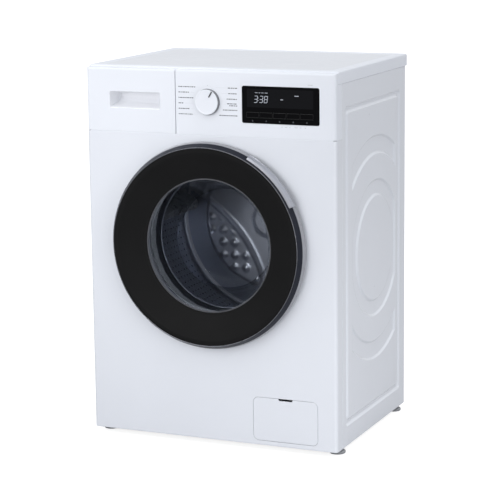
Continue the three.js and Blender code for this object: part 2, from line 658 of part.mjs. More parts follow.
// A coil spring with straight ends, as one bent bar.
function spring() {
  const { low, high, r, wire, turns } = SPRING;
  const points = [];
  const perTurn = 6;
  points.push([0, 0, low + GAP], [0, 0, low + 10]);
  const coilLow = low + 16;
  const coilHigh = high - 16;
  for (let i = 0; i <= turns * perTurn; i += 1) {
    const angle = (i / perTurn) * Math.PI * 2;
    const z = coilLow + ((coilHigh - coilLow) * i) / (turns * perTurn);
    points.push([r * Math.cos(angle), r * Math.sin(angle), z]);
  }
  points.push([0, 0, high - 10], [0, 0, high - GAP]);
  return pipe(points, wire / 2, turns * perTurn + 8, 4);
}

function damperCylinder() {
  return cut(barZ(13, 20.3, 150, 0, 0, 12), barZ(9, 45, 160, 0, 0, 12));
}

function damperRod() {
  const top = AXIS_Z - 188 - GAP;
  return join(barZ(5, 62, top - 2, 0, 0, 12), barZ(10, top - 8, top, 0, 0, 16));
}

function sumpHose() {
  return pipe([[40, 300, AXIS_Z - 296 - GAP], [40, 300, 140], [46, 285, 112], [58, 240, 88], [74, 160, 76],
    [84, 90, 76], [95, 54, 80], [106, 50, 80], [117.6, 50, 80]], 14, 20, 8);
}

function buildTub() {
  place('tub_front', axle, tubFront(), tubPlastic);
  place('tub_rear', axle, tubRear(), tubPlastic);
  place('counterweight', axle, counterweight(), concrete);
  place('heater', axle, heater(), steel);
  for (const [side, name] of [[-1, 'left'], [1, 'right']]) {
    place(`spring_${name}`, cabinet, spring(), steel, [side * SPRING.x, SPRING.y, 0]);
    place(`damper_cylinder_${name}`, cabinet, damperCylinder(), darkPlastic, [side * DAMPER.x, DAMPER.y, 0]);
    place(`damper_rod_${name}`, cabinet, damperRod(), steel, [side * DAMPER.x, DAMPER.y, 0]);
  }
  place('sump_hose', cabinet, sumpHose(), blackRubber);
}

// ---------------------------------------------------------------- drum and drive

function drum() {
  const r = DRUM_R;
  const mouth = DRUM_MOUTH_R;
  return turned([[0, 349], [r - 6, 343], [r, 336], [r, 98], [r - 6, 89], [164, 76], [mouth, 78], [mouth, 84],
    [mouth + SHEET, 84], [mouth + SHEET, 79], [164.3, 77.3], [r - 6.6, 90.1], [r - SHEET, 98.3],
    [r - SHEET, 335.6], [r - 6.5, 341.8], [0, 347.8]], FACETS);
}

// A lifter is a hollow ridge, widest at the drum's wall and narrower inside, with sloping ends.
function lifter() {
  const low = -DRUM_R + SHEET + 4;
  const section = polygon([-30, low], [30, low], [13, low + 46], [7, low + 51], [-7, low + 51],
    [-13, low + 46]);
  const length = slabY(section, 104, 326);
  const sides = polygon([104, low - 1], [326, low - 1], [326, low + 20], [305, low + 60], [125, low + 60],
    [104, low + 20]);
  return length.intersect(slabX(sides, -40, 40));
}

function drumSpider() {
  const hub = barY(36, 349.3, 362, 0, 0, 24);
  const shaft = barY(12.5, 360, 418, 0, 0, 20);
  const arms = [90, 210, 330].map((degrees) => (
    block(0, 205, 350.5, 361, -14, 14).rotate([0, degrees, 0])));
  return join(hub, shaft, ...arms);
}

function mainBearing() {
  return turned([[12.9, 370], [26.2, 370], [26.2, 388], [12.9, 388]], 24);
}

function drumPulley() {
  const r = DRUM_PULLEY_R - BELT_CLEARANCE;
  const rim = turned([[r - 10, 398], [r, 398], [r, 414], [r - 10, 414]], FACETS);
  const hub = cut(barY(22, 395, 417, 0, 0, 20), barY(12.9, 390, 420, 0, 0, 20));
  const spokes = Array.from({ length: 6 }, (unused, i) => (
    block(18, r - 5, 401, 411, -6, 6).rotate([0, i * 60, 0])));
  return join(hub, rim, ...spokes);
}

function motor() {
  const { x, z, r } = MOTOR;
  const can = barY(r, 254, 380, x, z, 20);
  const caps = [barY(r - 12, 248, 260, x, z, 20), barY(r - 12, 374, 384, x, z, 20)];
  const bracket = block(x - 10, x + 12, 262, 352, z + r - 6, AXIS_Z - 226);
  return join(can, ...caps, bracket);
}

function motorPulley() {
  const { x, z } = MOTOR;
  return join(barY(6, 384.3, 416, x, z, 12), barY(MOTOR_PULLEY_R - BELT_CLEARANCE, 397, 415, x, z, 16));
}

// The belt's outline is the outer tangent loop round both pulleys.
function beltLoop(extra) {
  const big = DRUM_PULLEY_R + extra;
  const small = MOTOR_PULLEY_R + extra;
  const distance = Math.hypot(MOTOR.x, AXIS_Z - MOTOR.z);
  const direction = Math.atan2(MOTOR.z - AXIS_Z, MOTOR.x);
  const lean = Math.acos((big - small) / distance);
  const shape = new THREE.Shape();
  shape.absarc(0, 0, big, direction + lean, direction - lean + Math.PI * 2, false);
  shape.absarc(MOTOR.x, MOTOR.z - AXIS_Z, small, direction - lean, direction + lean, false);
  return shape;
}

function driveBelt() {
  const outer = slabY(beltLoop(BELT.thick), BELT.from, BELT.to, 12);
  return cut(outer, slabY(beltLoop(0), BELT.from - 1, BELT.to + 1, 12));
}

function buildDrive() {
  place('drum', axle, drum(), steel);
  for (let number = 1; number <= 3; number += 1) {
    const turn = (number - 1) * 120 + 100;
    place(`lifter_${number}`, axle, lifter().rotate([0, turn, 0]), greyPlastic);
  }
  place('drum_spider', axle, drumSpider(), castAlloy);
  place('drum_pulley', axle, drumPulley(), castAlloy);
  place('main_bearing', axle, mainBearing(), steel);
  place('motor', cabinet, motor(), darkPlastic);
  place('motor_pulley', cabinet, motorPulley(), steel);
  place('drive_belt', axle, driveBelt(), blackRubber);
}

// ---------------------------------------------------------------- water and power

function serviceFlap() {
  const { x0, x1, z1, r, hingeY, hingeZ } = FLAP;
  const plate = slabY(roundedRect(x0 + 0.6, x1 - 0.6, 25, z1 - 0.6, r - 1), 0, 2.5);
  const barrel = barX(2, 125, 230, hingeY, hingeZ, 12);
  const notch = block(160, 194, -2, 6, 119.5, 130);
  return cut(join(plate, barrel), notch);
}

function drainPump() {
  const { x, z } = PUMP;
  const volute = barY(37, 14, 98, x, z, 20);
  const filterWell = barY(33, 10, 70, x, z, 20);
  const impellerWell = barY(26, 60, 90, x, z, 16);
  const coil = block(x - 28, x + 28, 97, 155, z - 26, z + 26);
  const foot = block(x - 26, x + 26, 22, 150, 20.3, z - 20);
  const outletBar = barZ(12, z + 20, z + 58, x - 20, 82, 12);
  const outletBore = barZ(9, z, z + 60, x - 20, 82, 10);
  const inletBar = barX(17, 118, 150, 50, 80, 12);
  const inletBore = barX(13, 110, 160, 50, 80, 10);
  const body = join(volute, coil, foot, outletBar, inletBar);
  return cut(body, filterWell, impellerWell, outletBore, inletBore);
}

function drainFilter() {
  const cap = join(barY(34, 9, 13.7, 0, 0, 20), barY(31.6, 13, 22, 0, 0, 20));
  const grip = block(-24, 24, 5, 10, -4, 4);
  const cage = cut(barY(23, 20, 66, 0, 0, 12), barY(20, 24, 70, 0, 0, 12));
  const windows = [block(-40, 40, 30, 58, -9, 9), block(-9, 9, 30, 58, -40, 40)];
  return join(cap, grip, cut(cage, ...windows));
}

function pumpImpeller() {
  const hub = barY(7, 71, 88, 0, 0, 16);
  const vanes = Array.from({ length: 3 }, (unused, i) => (
    block(-22, 22, 72, 86, -1.5, 1.5).rotate([0, i * 60, 0])));
  return join(hub, ...vanes);
}

function drainHose() {
  const x = PUMP.x - 20;
  const hose = pipe([[x, 82, PUMP.z + 58 + GAP], [x, 82, 150], [x + 2, 83, 172], [200, 98, 205],
    [258, 140, 262], [277, 205, 360], [278, 300, 520], [264, 385, 660], [238, 418, 710],
    [OUTLET.x, 438, OUTLET.z], [OUTLET.x, 461, OUTLET.z]], 11, 34, 8);
  return cut(hose, barY(7.5, 446, 480, OUTLET.x, OUTLET.z, 10));
}

function inletValve() {
  const { x, z } = INLET;
  const body = block(x - 22, x + 22, 392, 445, z - 18, z + 12);
  const coil = barZ(13, z + 10, z + 34, x, 412, 16);
  const port = barY(13.5, 440, 461, x, z, 20);
  const bore = barY(9, 430, 470, x, z, 16);
  const outlet = barY(8, 375, 395, x, z, 12);
  return cut(join(body, coil, port, outlet), bore);
}

function mainsInlet() {
  const { x, z } = MAINS;
  const box = block(x - 24, x + 24, 418, 445, z - 18, z + 18);
  const gland = barY(10, 440, 457, x, z, 20);
  return cut(join(box, gland), barY(4.5, 430, 470, x, z, 16));
}

function buildWaterAndPower() {
  place('service_flap', cabinet, serviceFlap(), enamel);
  place('drain_pump', cabinet, drainPump(), greyPlastic);
  place('drain_filter', cabinet, drainFilter(), darkPlastic, [PUMP.x, 0, PUMP.z]);
  place('pump_impeller', cabinet, pumpImpeller(), darkPlastic, [PUMP.x, 0, PUMP.z]);
  place('drain_hose', cabinet, drainHose(), greyPlastic);
  place('inlet_valve', cabinet, inletValve(), greyPlastic);
  place('mains_inlet', cabinet, mainsInlet(), darkPlastic);
}

buildCabinet();
buildFascia();
buildDrawer();
buildDoor();
buildTub();
buildDrive();
buildWaterAndPower();

export default machine;
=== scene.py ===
"""Front load washing machine: the finished surfaces, materials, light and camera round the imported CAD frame.

Shapes are drawn in millimetres as (x, depth, z): x to the right, depth behind the front panel's outer face,
z up from the floor. piece() turns them into metres in the row frame.
"""
import json
import math
from types import SimpleNamespace

import bmesh
import bpy
from mathutils import Matrix, Vector
from mathutils.geometry import delaunay_2d_cdt


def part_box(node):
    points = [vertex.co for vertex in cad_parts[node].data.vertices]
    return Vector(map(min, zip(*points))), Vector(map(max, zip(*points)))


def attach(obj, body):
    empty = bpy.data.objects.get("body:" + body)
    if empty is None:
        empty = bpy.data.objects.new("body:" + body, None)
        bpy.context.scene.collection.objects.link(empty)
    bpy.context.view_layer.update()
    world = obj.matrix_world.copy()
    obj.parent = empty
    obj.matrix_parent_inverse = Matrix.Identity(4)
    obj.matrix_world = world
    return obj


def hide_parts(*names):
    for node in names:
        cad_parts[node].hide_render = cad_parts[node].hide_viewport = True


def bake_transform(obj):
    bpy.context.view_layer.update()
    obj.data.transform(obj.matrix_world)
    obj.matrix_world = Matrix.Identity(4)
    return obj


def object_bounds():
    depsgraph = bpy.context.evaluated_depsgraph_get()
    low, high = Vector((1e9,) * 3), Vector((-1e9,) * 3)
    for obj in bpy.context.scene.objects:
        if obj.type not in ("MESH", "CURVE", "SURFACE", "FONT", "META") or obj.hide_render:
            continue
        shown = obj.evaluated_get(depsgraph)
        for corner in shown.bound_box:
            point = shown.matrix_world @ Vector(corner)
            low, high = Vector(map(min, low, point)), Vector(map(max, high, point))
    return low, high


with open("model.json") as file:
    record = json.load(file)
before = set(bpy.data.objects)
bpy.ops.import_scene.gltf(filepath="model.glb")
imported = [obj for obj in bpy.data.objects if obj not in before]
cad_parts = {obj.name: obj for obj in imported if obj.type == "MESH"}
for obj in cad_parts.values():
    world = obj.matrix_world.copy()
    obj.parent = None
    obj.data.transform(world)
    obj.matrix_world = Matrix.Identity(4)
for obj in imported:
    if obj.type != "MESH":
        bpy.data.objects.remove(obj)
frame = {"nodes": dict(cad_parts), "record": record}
cad_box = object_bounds()

MM = 0.001
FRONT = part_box("front_panel")[0].y / MM  # row Y of the front panel's outer face, in mm


def box_of(*nodes):
    """The box round some CAD nodes, in millimetres, with y as depth behind the front panel."""
    boxes = [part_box(node) for node in nodes]
    low = [min(lo[i] for lo, _ in boxes) / MM for i in range(3)]
    high = [max(hi[i] for _, hi in boxes) / MM for i in range(3)]
    return SimpleNamespace(
        x0=low[0], x1=high[0], y0=low[1] - FRONT, y1=high[1] - FRONT, z0=low[2], z1=high[2],
        x=(low[0] + high[0]) / 2, y=(low[1] + high[1]) / 2 - FRONT, z=(low[2] + high[2]) / 2,
    )


PANEL = box_of("front_panel")
FASCIA = box_of("control_fascia")
DRAWER = box_of("drawer_front")
WORKTOP = box_of("worktop")
SURROUND = box_of("door_surround")
RING = box_of("door_ring")
GASKET = box_of("door_gasket")
DRUM = box_of("drum")
DIAL = box_of("program_dial")
DISPLAY = box_of("display_window")
SIDE = box_of("right_side_panel")
REAR = box_of("rear_panel")
COVER = box_of("rear_access_cover")
FLAP = box_of("service_flap")

AXIS = (SURROUND.x, SURROUND.z)  # the door and drum axis
SURROUND_R = (SURROUND.x1 - SURROUND.x0) / 2
WINDOW_R = 150.6  # inner edge of the surround
OPENING_R = 178.0  # hole in the front panel
CORNER_R = 8.0  # vertical front corners
SHEET = 1.2
HANDLE_ARC = (26.0, 62.6)  # degrees from +X, seen from the front


# ---------------------------------------------------------------- outlines

def rounded_rect(u0, u1, v0, v1, radius, steps=6):
    """Points of a rectangle with round corners, anticlockwise."""
    corners = [(u1 - radius, v0 + radius, -90), (u1 - radius, v1 - radius, 0),
               (u0 + radius, v1 - radius, 90), (u0 + radius, v0 + radius, 180)]
    points = []
    for u, v, start in corners:
        for i in range(steps + 1):
            a = math.radians(start + 90 * i / steps)
            points.append((u + radius * math.cos(a), v + radius * math.sin(a)))
    return points


def arc(centre, radius, start, end, steps):
    """Points of an arc, in degrees, both ends included."""
    angles = [math.radians(start + (end - start) * i / steps) for i in range(steps + 1)]
    return [(centre[0] + radius * math.cos(a), centre[1] + radius * math.sin(a)) for a in angles]


def circle(centre, radius, steps=96):
    return arc(centre, radius, 0, 360, steps)[:-1]


def filleted(points, closed=True, steps=4):
    """An outline of (u, v) or (u, v, radius) points, with each radius made an arc."""
    out = []
    for i, point in enumerate(points):
        radius = point[2] if len(point) > 2 else 0
        here = Vector(point[:2])
        if radius == 0 or (not closed and i in (0, len(points) - 1)):
            out.append(tuple(here))
            continue
        back = Vector(points[i - 1][:2]) - here
        on = Vector(points[(i + 1) % len(points)][:2]) - here
        half = back.angle(on) / 2
        reach = min(radius / math.tan(half), 0.49 * back.length, 0.49 * on.length)
        radius = reach * math.tan(half)
        centre = here + (back.normalized() + on.normalized()).normalized() * (radius / math.sin(half))
        first = here + back.normalized() * reach - centre
        last = here + on.normalized() * reach - centre
        start = math.atan2(first.y, first.x)
        turn = math.atan2(last.y, last.x) - start
        turn = (turn + math.pi) % (2 * math.pi) - math.pi
        for k in range(steps + 1):
            a = start + turn * k / steps
            out.append((centre.x + radius * math.cos(a), centre.y + radius * math.sin(a)))
    return out


def inside(loop, u, v):
    """True if the point lies within the closed loop."""
    found = False
    for (u0, v0), (u1, v1) in zip(loop, loop[1:] + loop[:1]):
        if (v0 > v) != (v1 > v) and u < (u1 - u0) * (v - v0) / (v1 - v0) + u0:
            found = not found
    return found


def smooth_step(x):
    x = min(max(x, 0.0), 1.0)
    return x * x * (3 - 2 * x)


# ---------------------------------------------------------------- shapes

class Shape:
    """Points as (x, depth, z) in millimetres, and faces, each with the number of its finish."""

    def __init__(self):
        self.points, self.faces, self.finishes = [], [], []

    def add(self, points, faces, finish=0):
        start = len(self.points)
        self.points += [tuple(p) for p in points]
        self.faces += [[start + i for i in face] for face in faces]
        self.finishes += [finish] * len(faces)
        return self

    def loft(self, loops, finish=0, closed=True, caps=False):
        """A skin through loops with the same number of points. A list of finishes gives one a strip."""
        count = len(loops[0])
        across = count if closed else count - 1
        for row in range(len(loops) - 1):
            faces = [[i, (i + 1) % count, count + (i + 1) % count, count + i] for i in range(across)]
            self.add([*loops[row], *loops[row + 1]], faces,
                     finish[row] if isinstance(finish, list) else finish)
        if caps:
            self.add(loops[0], [list(range(count))], finish if not isinstance(finish, list) else finish[0])
            self.add(loops[-1], [list(range(count))], finish if not isinstance(finish, list) else finish[-1])
        return self

    def revolve(self, profile, steps=96, centre=AXIS, span=(0, 360), finish=0, closed=True):
        """A profile of (radius, depth) points, turned about a line along Y."""
        full = span[1] - span[0] >= 360
        rows = []
        for radius, depth in profile:
            ring = arc(centre, radius, *span, steps)
            rows.append([(u, depth, v) for u, v in (ring[:-1] if full else ring)])
        if closed:
            rows.append(rows[0])
        self.loft(rows, finish, closed=full)
        if not full:
            for end in (0, -1):
                self.add([row[end] for row in rows[:len(profile)]], [list(range(len(profile)))],
                         finish[0] if isinstance(finish, list) else finish)
        return self

    def fill(self, contours, place, holes=(), zones=(), finish=0):
        """A surface over closed contours, each (loop, height). place(u, v, height) gives a point in space.
        Holes are (loop, height) too, and zones are (loop, finish) for the faces within a loop."""
        rings = [*contours, *holes]
        flat, edges = [], []
        for loop, height in rings:
            start, count = len(flat), len(loop)
            flat += [(Vector(p), height) for p in loop]
            edges += [(start + i, start + (i + 1) % count) for i in range(count)]
        points, _, faces, source, _, _ = delaunay_2d_cdt([p for p, _ in flat], edges, [], 1, 1e-4)
        heights = [flat[s[0]][1] for s in source]
        kept = {}
        for face in faces:
            u = sum(points[i].x for i in face) / len(face)
            v = sum(points[i].y for i in face) / len(face)
            if any(inside(loop, u, v) for loop, _ in holes):
                continue
            number = next((f for loop, f in zones if inside(loop, u, v)), finish)
            kept.setdefault(number, []).append(face)
        spots = [place(p.x, p.y, h) for p, h in zip(points, heights)]
        for number, group in kept.items():
            self.add(spots, group, number)
        return self

    def block(self, x, y, z, edge=0.4, finish=0, steps=2):
        """A box with rounded edges, from pairs of limits."""
        edge = min(edge, (x[1] - x[0]) / 2.1, (y[1] - y[0]) / 2.1, (z[1] - z[0]) / 2.1)
        loops = []
        for i in range(steps + 1):
            a = math.pi / 2 * i / steps
            loops.append((edge * (1 - math.sin(a)), y[0] + edge * (1 - math.cos(a))))
        loops += [(inset, y[1] - (depth - y[0])) for inset, depth in reversed(loops)]
        rows = []
        for inset, depth in loops:
            outline = rounded_rect(x[0] + inset, x[1] - inset, z[0] + inset, z[1] - inset, edge, steps)
            rows.append([(u, depth, v) for u, v in outline])
        return self.loft(rows, finish, caps=True)

    def upright(self, profile, x, y, steps=32, finish=0, closed=False):
        """A profile of (radius, z) points, turned about an upright line."""
        rows = [[(u, v, z) for u, v in circle((x, y), radius, steps)] for radius, z in profile]
        if closed:
            rows.append(rows[0])
        return self.loft(rows, finish)

    def tube(self, path, radius, sides=16, finish=0, closed_ends=True):
        """A tube along points. radius is a number, or one for each point."""
        points = [Vector(p) for p in path]
        radii = radius if isinstance(radius, list) else [radius] * len(points)
        rows = []
        normal = None
        for i, p in enumerate(points):
            ahead = points[min(i + 1, len(points) - 1)] - points[max(i - 1, 0)]
            ahead.normalize()
            if normal is None:
                normal = ahead.orthogonal().normalized()
            normal = (normal - ahead * normal.dot(ahead)).normalized()
            side = ahead.cross(normal)
            rows.append([tuple(p + (normal * math.cos(a) + side * math.sin(a)) * radii[i])
                         for a in (2 * math.pi * k / sides for k in range(sides))])
        return self.loft(rows, finish, caps=closed_ends)


def corner_inset(radius, depth):
    """How far a round edge still draws in at a depth behind its face."""
    if depth >= radius:
        return 0.0
    return radius - math.sqrt(radius ** 2 - (radius - depth) ** 2)


def front_shell(shape, x, z, radii, lip, wall, holes=(), zones=()):
    """A moulding or sheet that faces the front, with rounded left, right, bottom and top edges, a lip
    that runs back to a depth, and holes, each a list of loops from the front face to the back face."""
    def loop(depth, inset):
        near = max(depth - inset, 0.0)
        left, right, bottom, top = [corner_inset(max(r - inset, 0.1), near) + inset for r in radii]
        outline = rounded_rect(x[0] + left, x[1] - right, z[0] + bottom, z[1] - top, 1.0, 4)
        return [(u, depth, v) for u, v in outline]

    depths = sorted({round(r * (1 - math.cos(math.radians(a))), 4) for r in radii for a in range(0, 91, 15)})
    outer = [loop(depth, 0.0) for depth in depths if depth < lip] + [loop(lip, 0.0)]
    inner = [loop(depth + wall, wall) for depth in depths if depth + wall < lip] + [loop(lip, wall)]
    shape.loft(outer + inner[::-1])
    for rows, depth, end in ((outer, 0.0, 0), (inner, wall, -1)):
        contour = [(u, v) for u, _, v in rows[0]]
        cuts = [([(u, v) for u, _, v in hole[end]], 0) for hole in holes]
        shape.fill([(contour, 0)], lambda u, v, h, d=depth: (u, d, v), cuts, zones if end == 0 else ())
    for hole in holes:
        if len(hole) > 2 or wall > 0:
            shape.loft(hole)
    return shape


# ---------------------------------------------------------------- materials

def node_group(material):
    material.use_nodes = True
    tree = material.node_tree
    return tree, tree.nodes["Principled BSDF"]


def noise(tree, vector, scale, detail=3.0):
    node = tree.nodes.new("ShaderNodeTexNoise")
    node.inputs["Scale"].default_value = scale
    node.inputs["Detail"].default_value = detail
    tree.links.new(vector, node.inputs["Vector"])
    return node.outputs["Fac"]


def math_node(tree, operation, first, second=None, clamp=False):
    node = tree.nodes.new("ShaderNodeMath")
    node.operation = operation
    node.use_clamp = clamp
    for i, value in enumerate((first, second)):
        if value is None:
            continue
        if isinstance(value, (int, float)):
            node.inputs[i].default_value = value
        else:
            tree.links.new(value, node.inputs[i])
    return node.outputs[0]


def ranged(tree, value, low, high, start=0.3, end=0.7):
    node = tree.nodes.new("ShaderNodeMapRange")
    tree.links.new(value, node.inputs["Value"])
    for name, number in (("From Min", start), ("From Max", end), ("To Min", low), ("To Max", high)):
        node.inputs[name].default_value = number
    return node.outputs["Result"]


def mixed(tree, factor, first, second):
    node = tree.nodes.new("ShaderNodeMix")
    node.data_type = "RGBA"
    tree.links.new(factor, node.inputs["Factor"])
    for name, value in (("A", first), ("B", second)):
        socket = next(s for s in node.inputs if s.name == name and s.type == "RGBA")
        if isinstance(value, tuple):
            socket.default_value = (*value, 1.0)
        else:
            tree.links.new(value, socket)
    return next(s for s in node.outputs if s.type == "RGBA")


def object_vector(tree, stretch=(1, 1, 1)):
    where = tree.nodes.new("ShaderNodeTexCoord").outputs["Object"]
    mapping = tree.nodes.new("ShaderNodeMapping")
    mapping.inputs["Scale"].default_value = stretch
    tree.links.new(where, mapping.inputs["Vector"])
    return mapping.outputs["Vector"]


def finish(name, color, rough, metal=0.0, spread=0.02, rough_spread=0.05, mottle=9.0, grain=700.0,
           bump=0.03, relief=0.0002, stretch=(1, 1, 1), **fixed):
    """A surface with slow colour change, uneven gloss and a fine grain. fixed names Principled sockets."""
    material = bpy.data.materials.new(name)
    tree, shader = node_group(material)
    where = object_vector(tree)
    slow = noise(tree, where, mottle, 4.0)
    darker = tuple(c * (1 - spread) for c in color)
    lighter = tuple(min(c * (1 + spread), 1.0) for c in color)
    tree.links.new(mixed(tree, ranged(tree, slow, 0, 1), darker, lighter), shader.inputs["Base Color"])
    fine = noise(tree, object_vector(tree, stretch), grain, 2.0)
    uneven = math_node(tree, "ADD", ranged(tree, noise(tree, where, mottle * 7), -rough_spread, rough_spread),
                       ranged(tree, fine, -rough_spread / 2, rough_spread / 2))
    tree.links.new(math_node(tree, "ADD", uneven, rough, clamp=True), shader.inputs["Roughness"])
    lift = tree.nodes.new("ShaderNodeBump")
    lift.inputs["Strength"].default_value = bump
    lift.inputs["Distance"].default_value = relief
    tree.links.new(fine, lift.inputs["Height"])
    tree.links.new(lift.outputs["Normal"], shader.inputs["Normal"])
    shader.inputs["Metallic"].default_value = metal
    for socket, value in fixed.items():
        shader.inputs[socket.replace("_", " ")].default_value = value
    return material


def pane(name, tint, gloss_rough, mirror=0.9):
    """Clear glass: tinted see-through with a mirror film that grows at grazing angles, faintly uneven."""
    material = bpy.data.materials.new(name)
    tree, shader = node_group(material)
    where = object_vector(tree)
    tree.links.new(mixed(tree, ranged(tree, noise(tree, where, 6.0), 0, 1), (0.02, 0.022, 0.026),
                         (0.03, 0.033, 0.038)), shader.inputs["Base Color"])
    tree.links.new(ranged(tree, noise(tree, where, 40.0), gloss_rough, gloss_rough * 2),
                   shader.inputs["Roughness"])
    clear = tree.nodes.new("ShaderNodeBsdfTransparent")
    clear.inputs["Color"].default_value = (*tint, 1.0)
    film = tree.nodes.new("ShaderNodeFresnel")
    film.inputs["IOR"].default_value = 1.45
    share = math_node(tree, "MULTIPLY", film.outputs["Fac"], mirror, clamp=True)
    mix = tree.nodes.new("ShaderNodeMixShader")
    tree.links.new(share, mix.inputs["Fac"])
    tree.links.new(clear.outputs["BSDF"], mix.inputs[1])
    tree.links.new(shader.outputs["BSDF"], mix.inputs[2])
    shader.inputs["Metallic"].default_value = 0.0
    shader.inputs["Specular IOR Level"].default_value = 1.0
    shader.inputs["Coat Weight"].default_value = 1.0
    tree.links.new(mix.outputs["Shader"], tree.nodes["Material Output"].inputs["Surface"])
    return material


def drum_steel():
    """Bright steel with rows of small round holes, laid out on the drum's wall. The holes are near-black dots,
    painted shade for the dark space behind the wall; none is cut.
    """
    material = finish("drum_steel", (0.36, 0.38, 0.44), 0.36, metal=1.0, spread=0.03, grain=500,
                      rough_spread=0.02, stretch=(1, 0.05, 1), bump=0.02)
    tree, shader = node_group(material)
    where = tree.nodes.new("ShaderNodeTexCoord").outputs["Object"]
    split = tree.nodes.new("ShaderNodeSeparateXYZ")
    tree.links.new(where, split.inputs[0])
    across = math_node(tree, "SUBTRACT", split.outputs["Z"], AXIS[1] * MM)
    angle = math_node(tree, "ARCTAN2", split.outputs["X"], across)
    columns, pitch = 96, 0.0148
    u = math_node(tree, "MULTIPLY", angle, columns / (2 * math.pi))
    v = math_node(tree, "DIVIDE", split.outputs["Y"], pitch)
    off_u = math_node(tree, "SUBTRACT", math_node(tree, "FRACT", u), 0.5)
    off_v = math_node(tree, "SUBTRACT", math_node(tree, "FRACT", v), 0.5)
    away = math_node(tree, "SQRT", math_node(tree, "ADD", math_node(tree, "MULTIPLY", off_u, off_u),
                                             math_node(tree, "MULTIPLY", off_v, off_v)))
    radial = math_node(tree, "SQRT", math_node(
        tree, "ADD", math_node(tree, "MULTIPLY", split.outputs["X"], split.outputs["X"]),
        math_node(tree, "MULTIPLY", across, across)))
    on_wall = math_node(tree, "GREATER_THAN", radial, (DRUM.x1 - 8) * MM)
    before_back = math_node(tree, "LESS_THAN", split.outputs["Y"], (DRUM.y1 - 24 + FRONT) * MM)
    # each hole is a near-black dot: painted shade, the steel is not cut
    hole = math_node(tree, "MULTIPLY", math_node(tree, "LESS_THAN", away, 0.13), math_node(
        tree, "MULTIPLY", on_wall, before_back))
    steel = shader.inputs["Base Color"].links[0].from_socket
    tree.links.new(mixed(tree, hole, steel, (0.004, 0.004, 0.005)), shader.inputs["Base Color"])
    return material


def glow(name, color, strength):
    material = bpy.data.materials.new(name)
    tree, shader = node_group(material)
    where = object_vector(tree)
    tint = mixed(tree, ranged(tree, noise(tree, where, 300.0), 0, 1), tuple(c * 0.9 for c in color), color)
    tree.links.new(tint, shader.inputs["Base Color"])
    tree.links.new(tint, shader.inputs["Emission Color"])
    shader.inputs["Emission Strength"].default_value = strength
    shader.inputs["Roughness"].default_value = 0.4
    return material


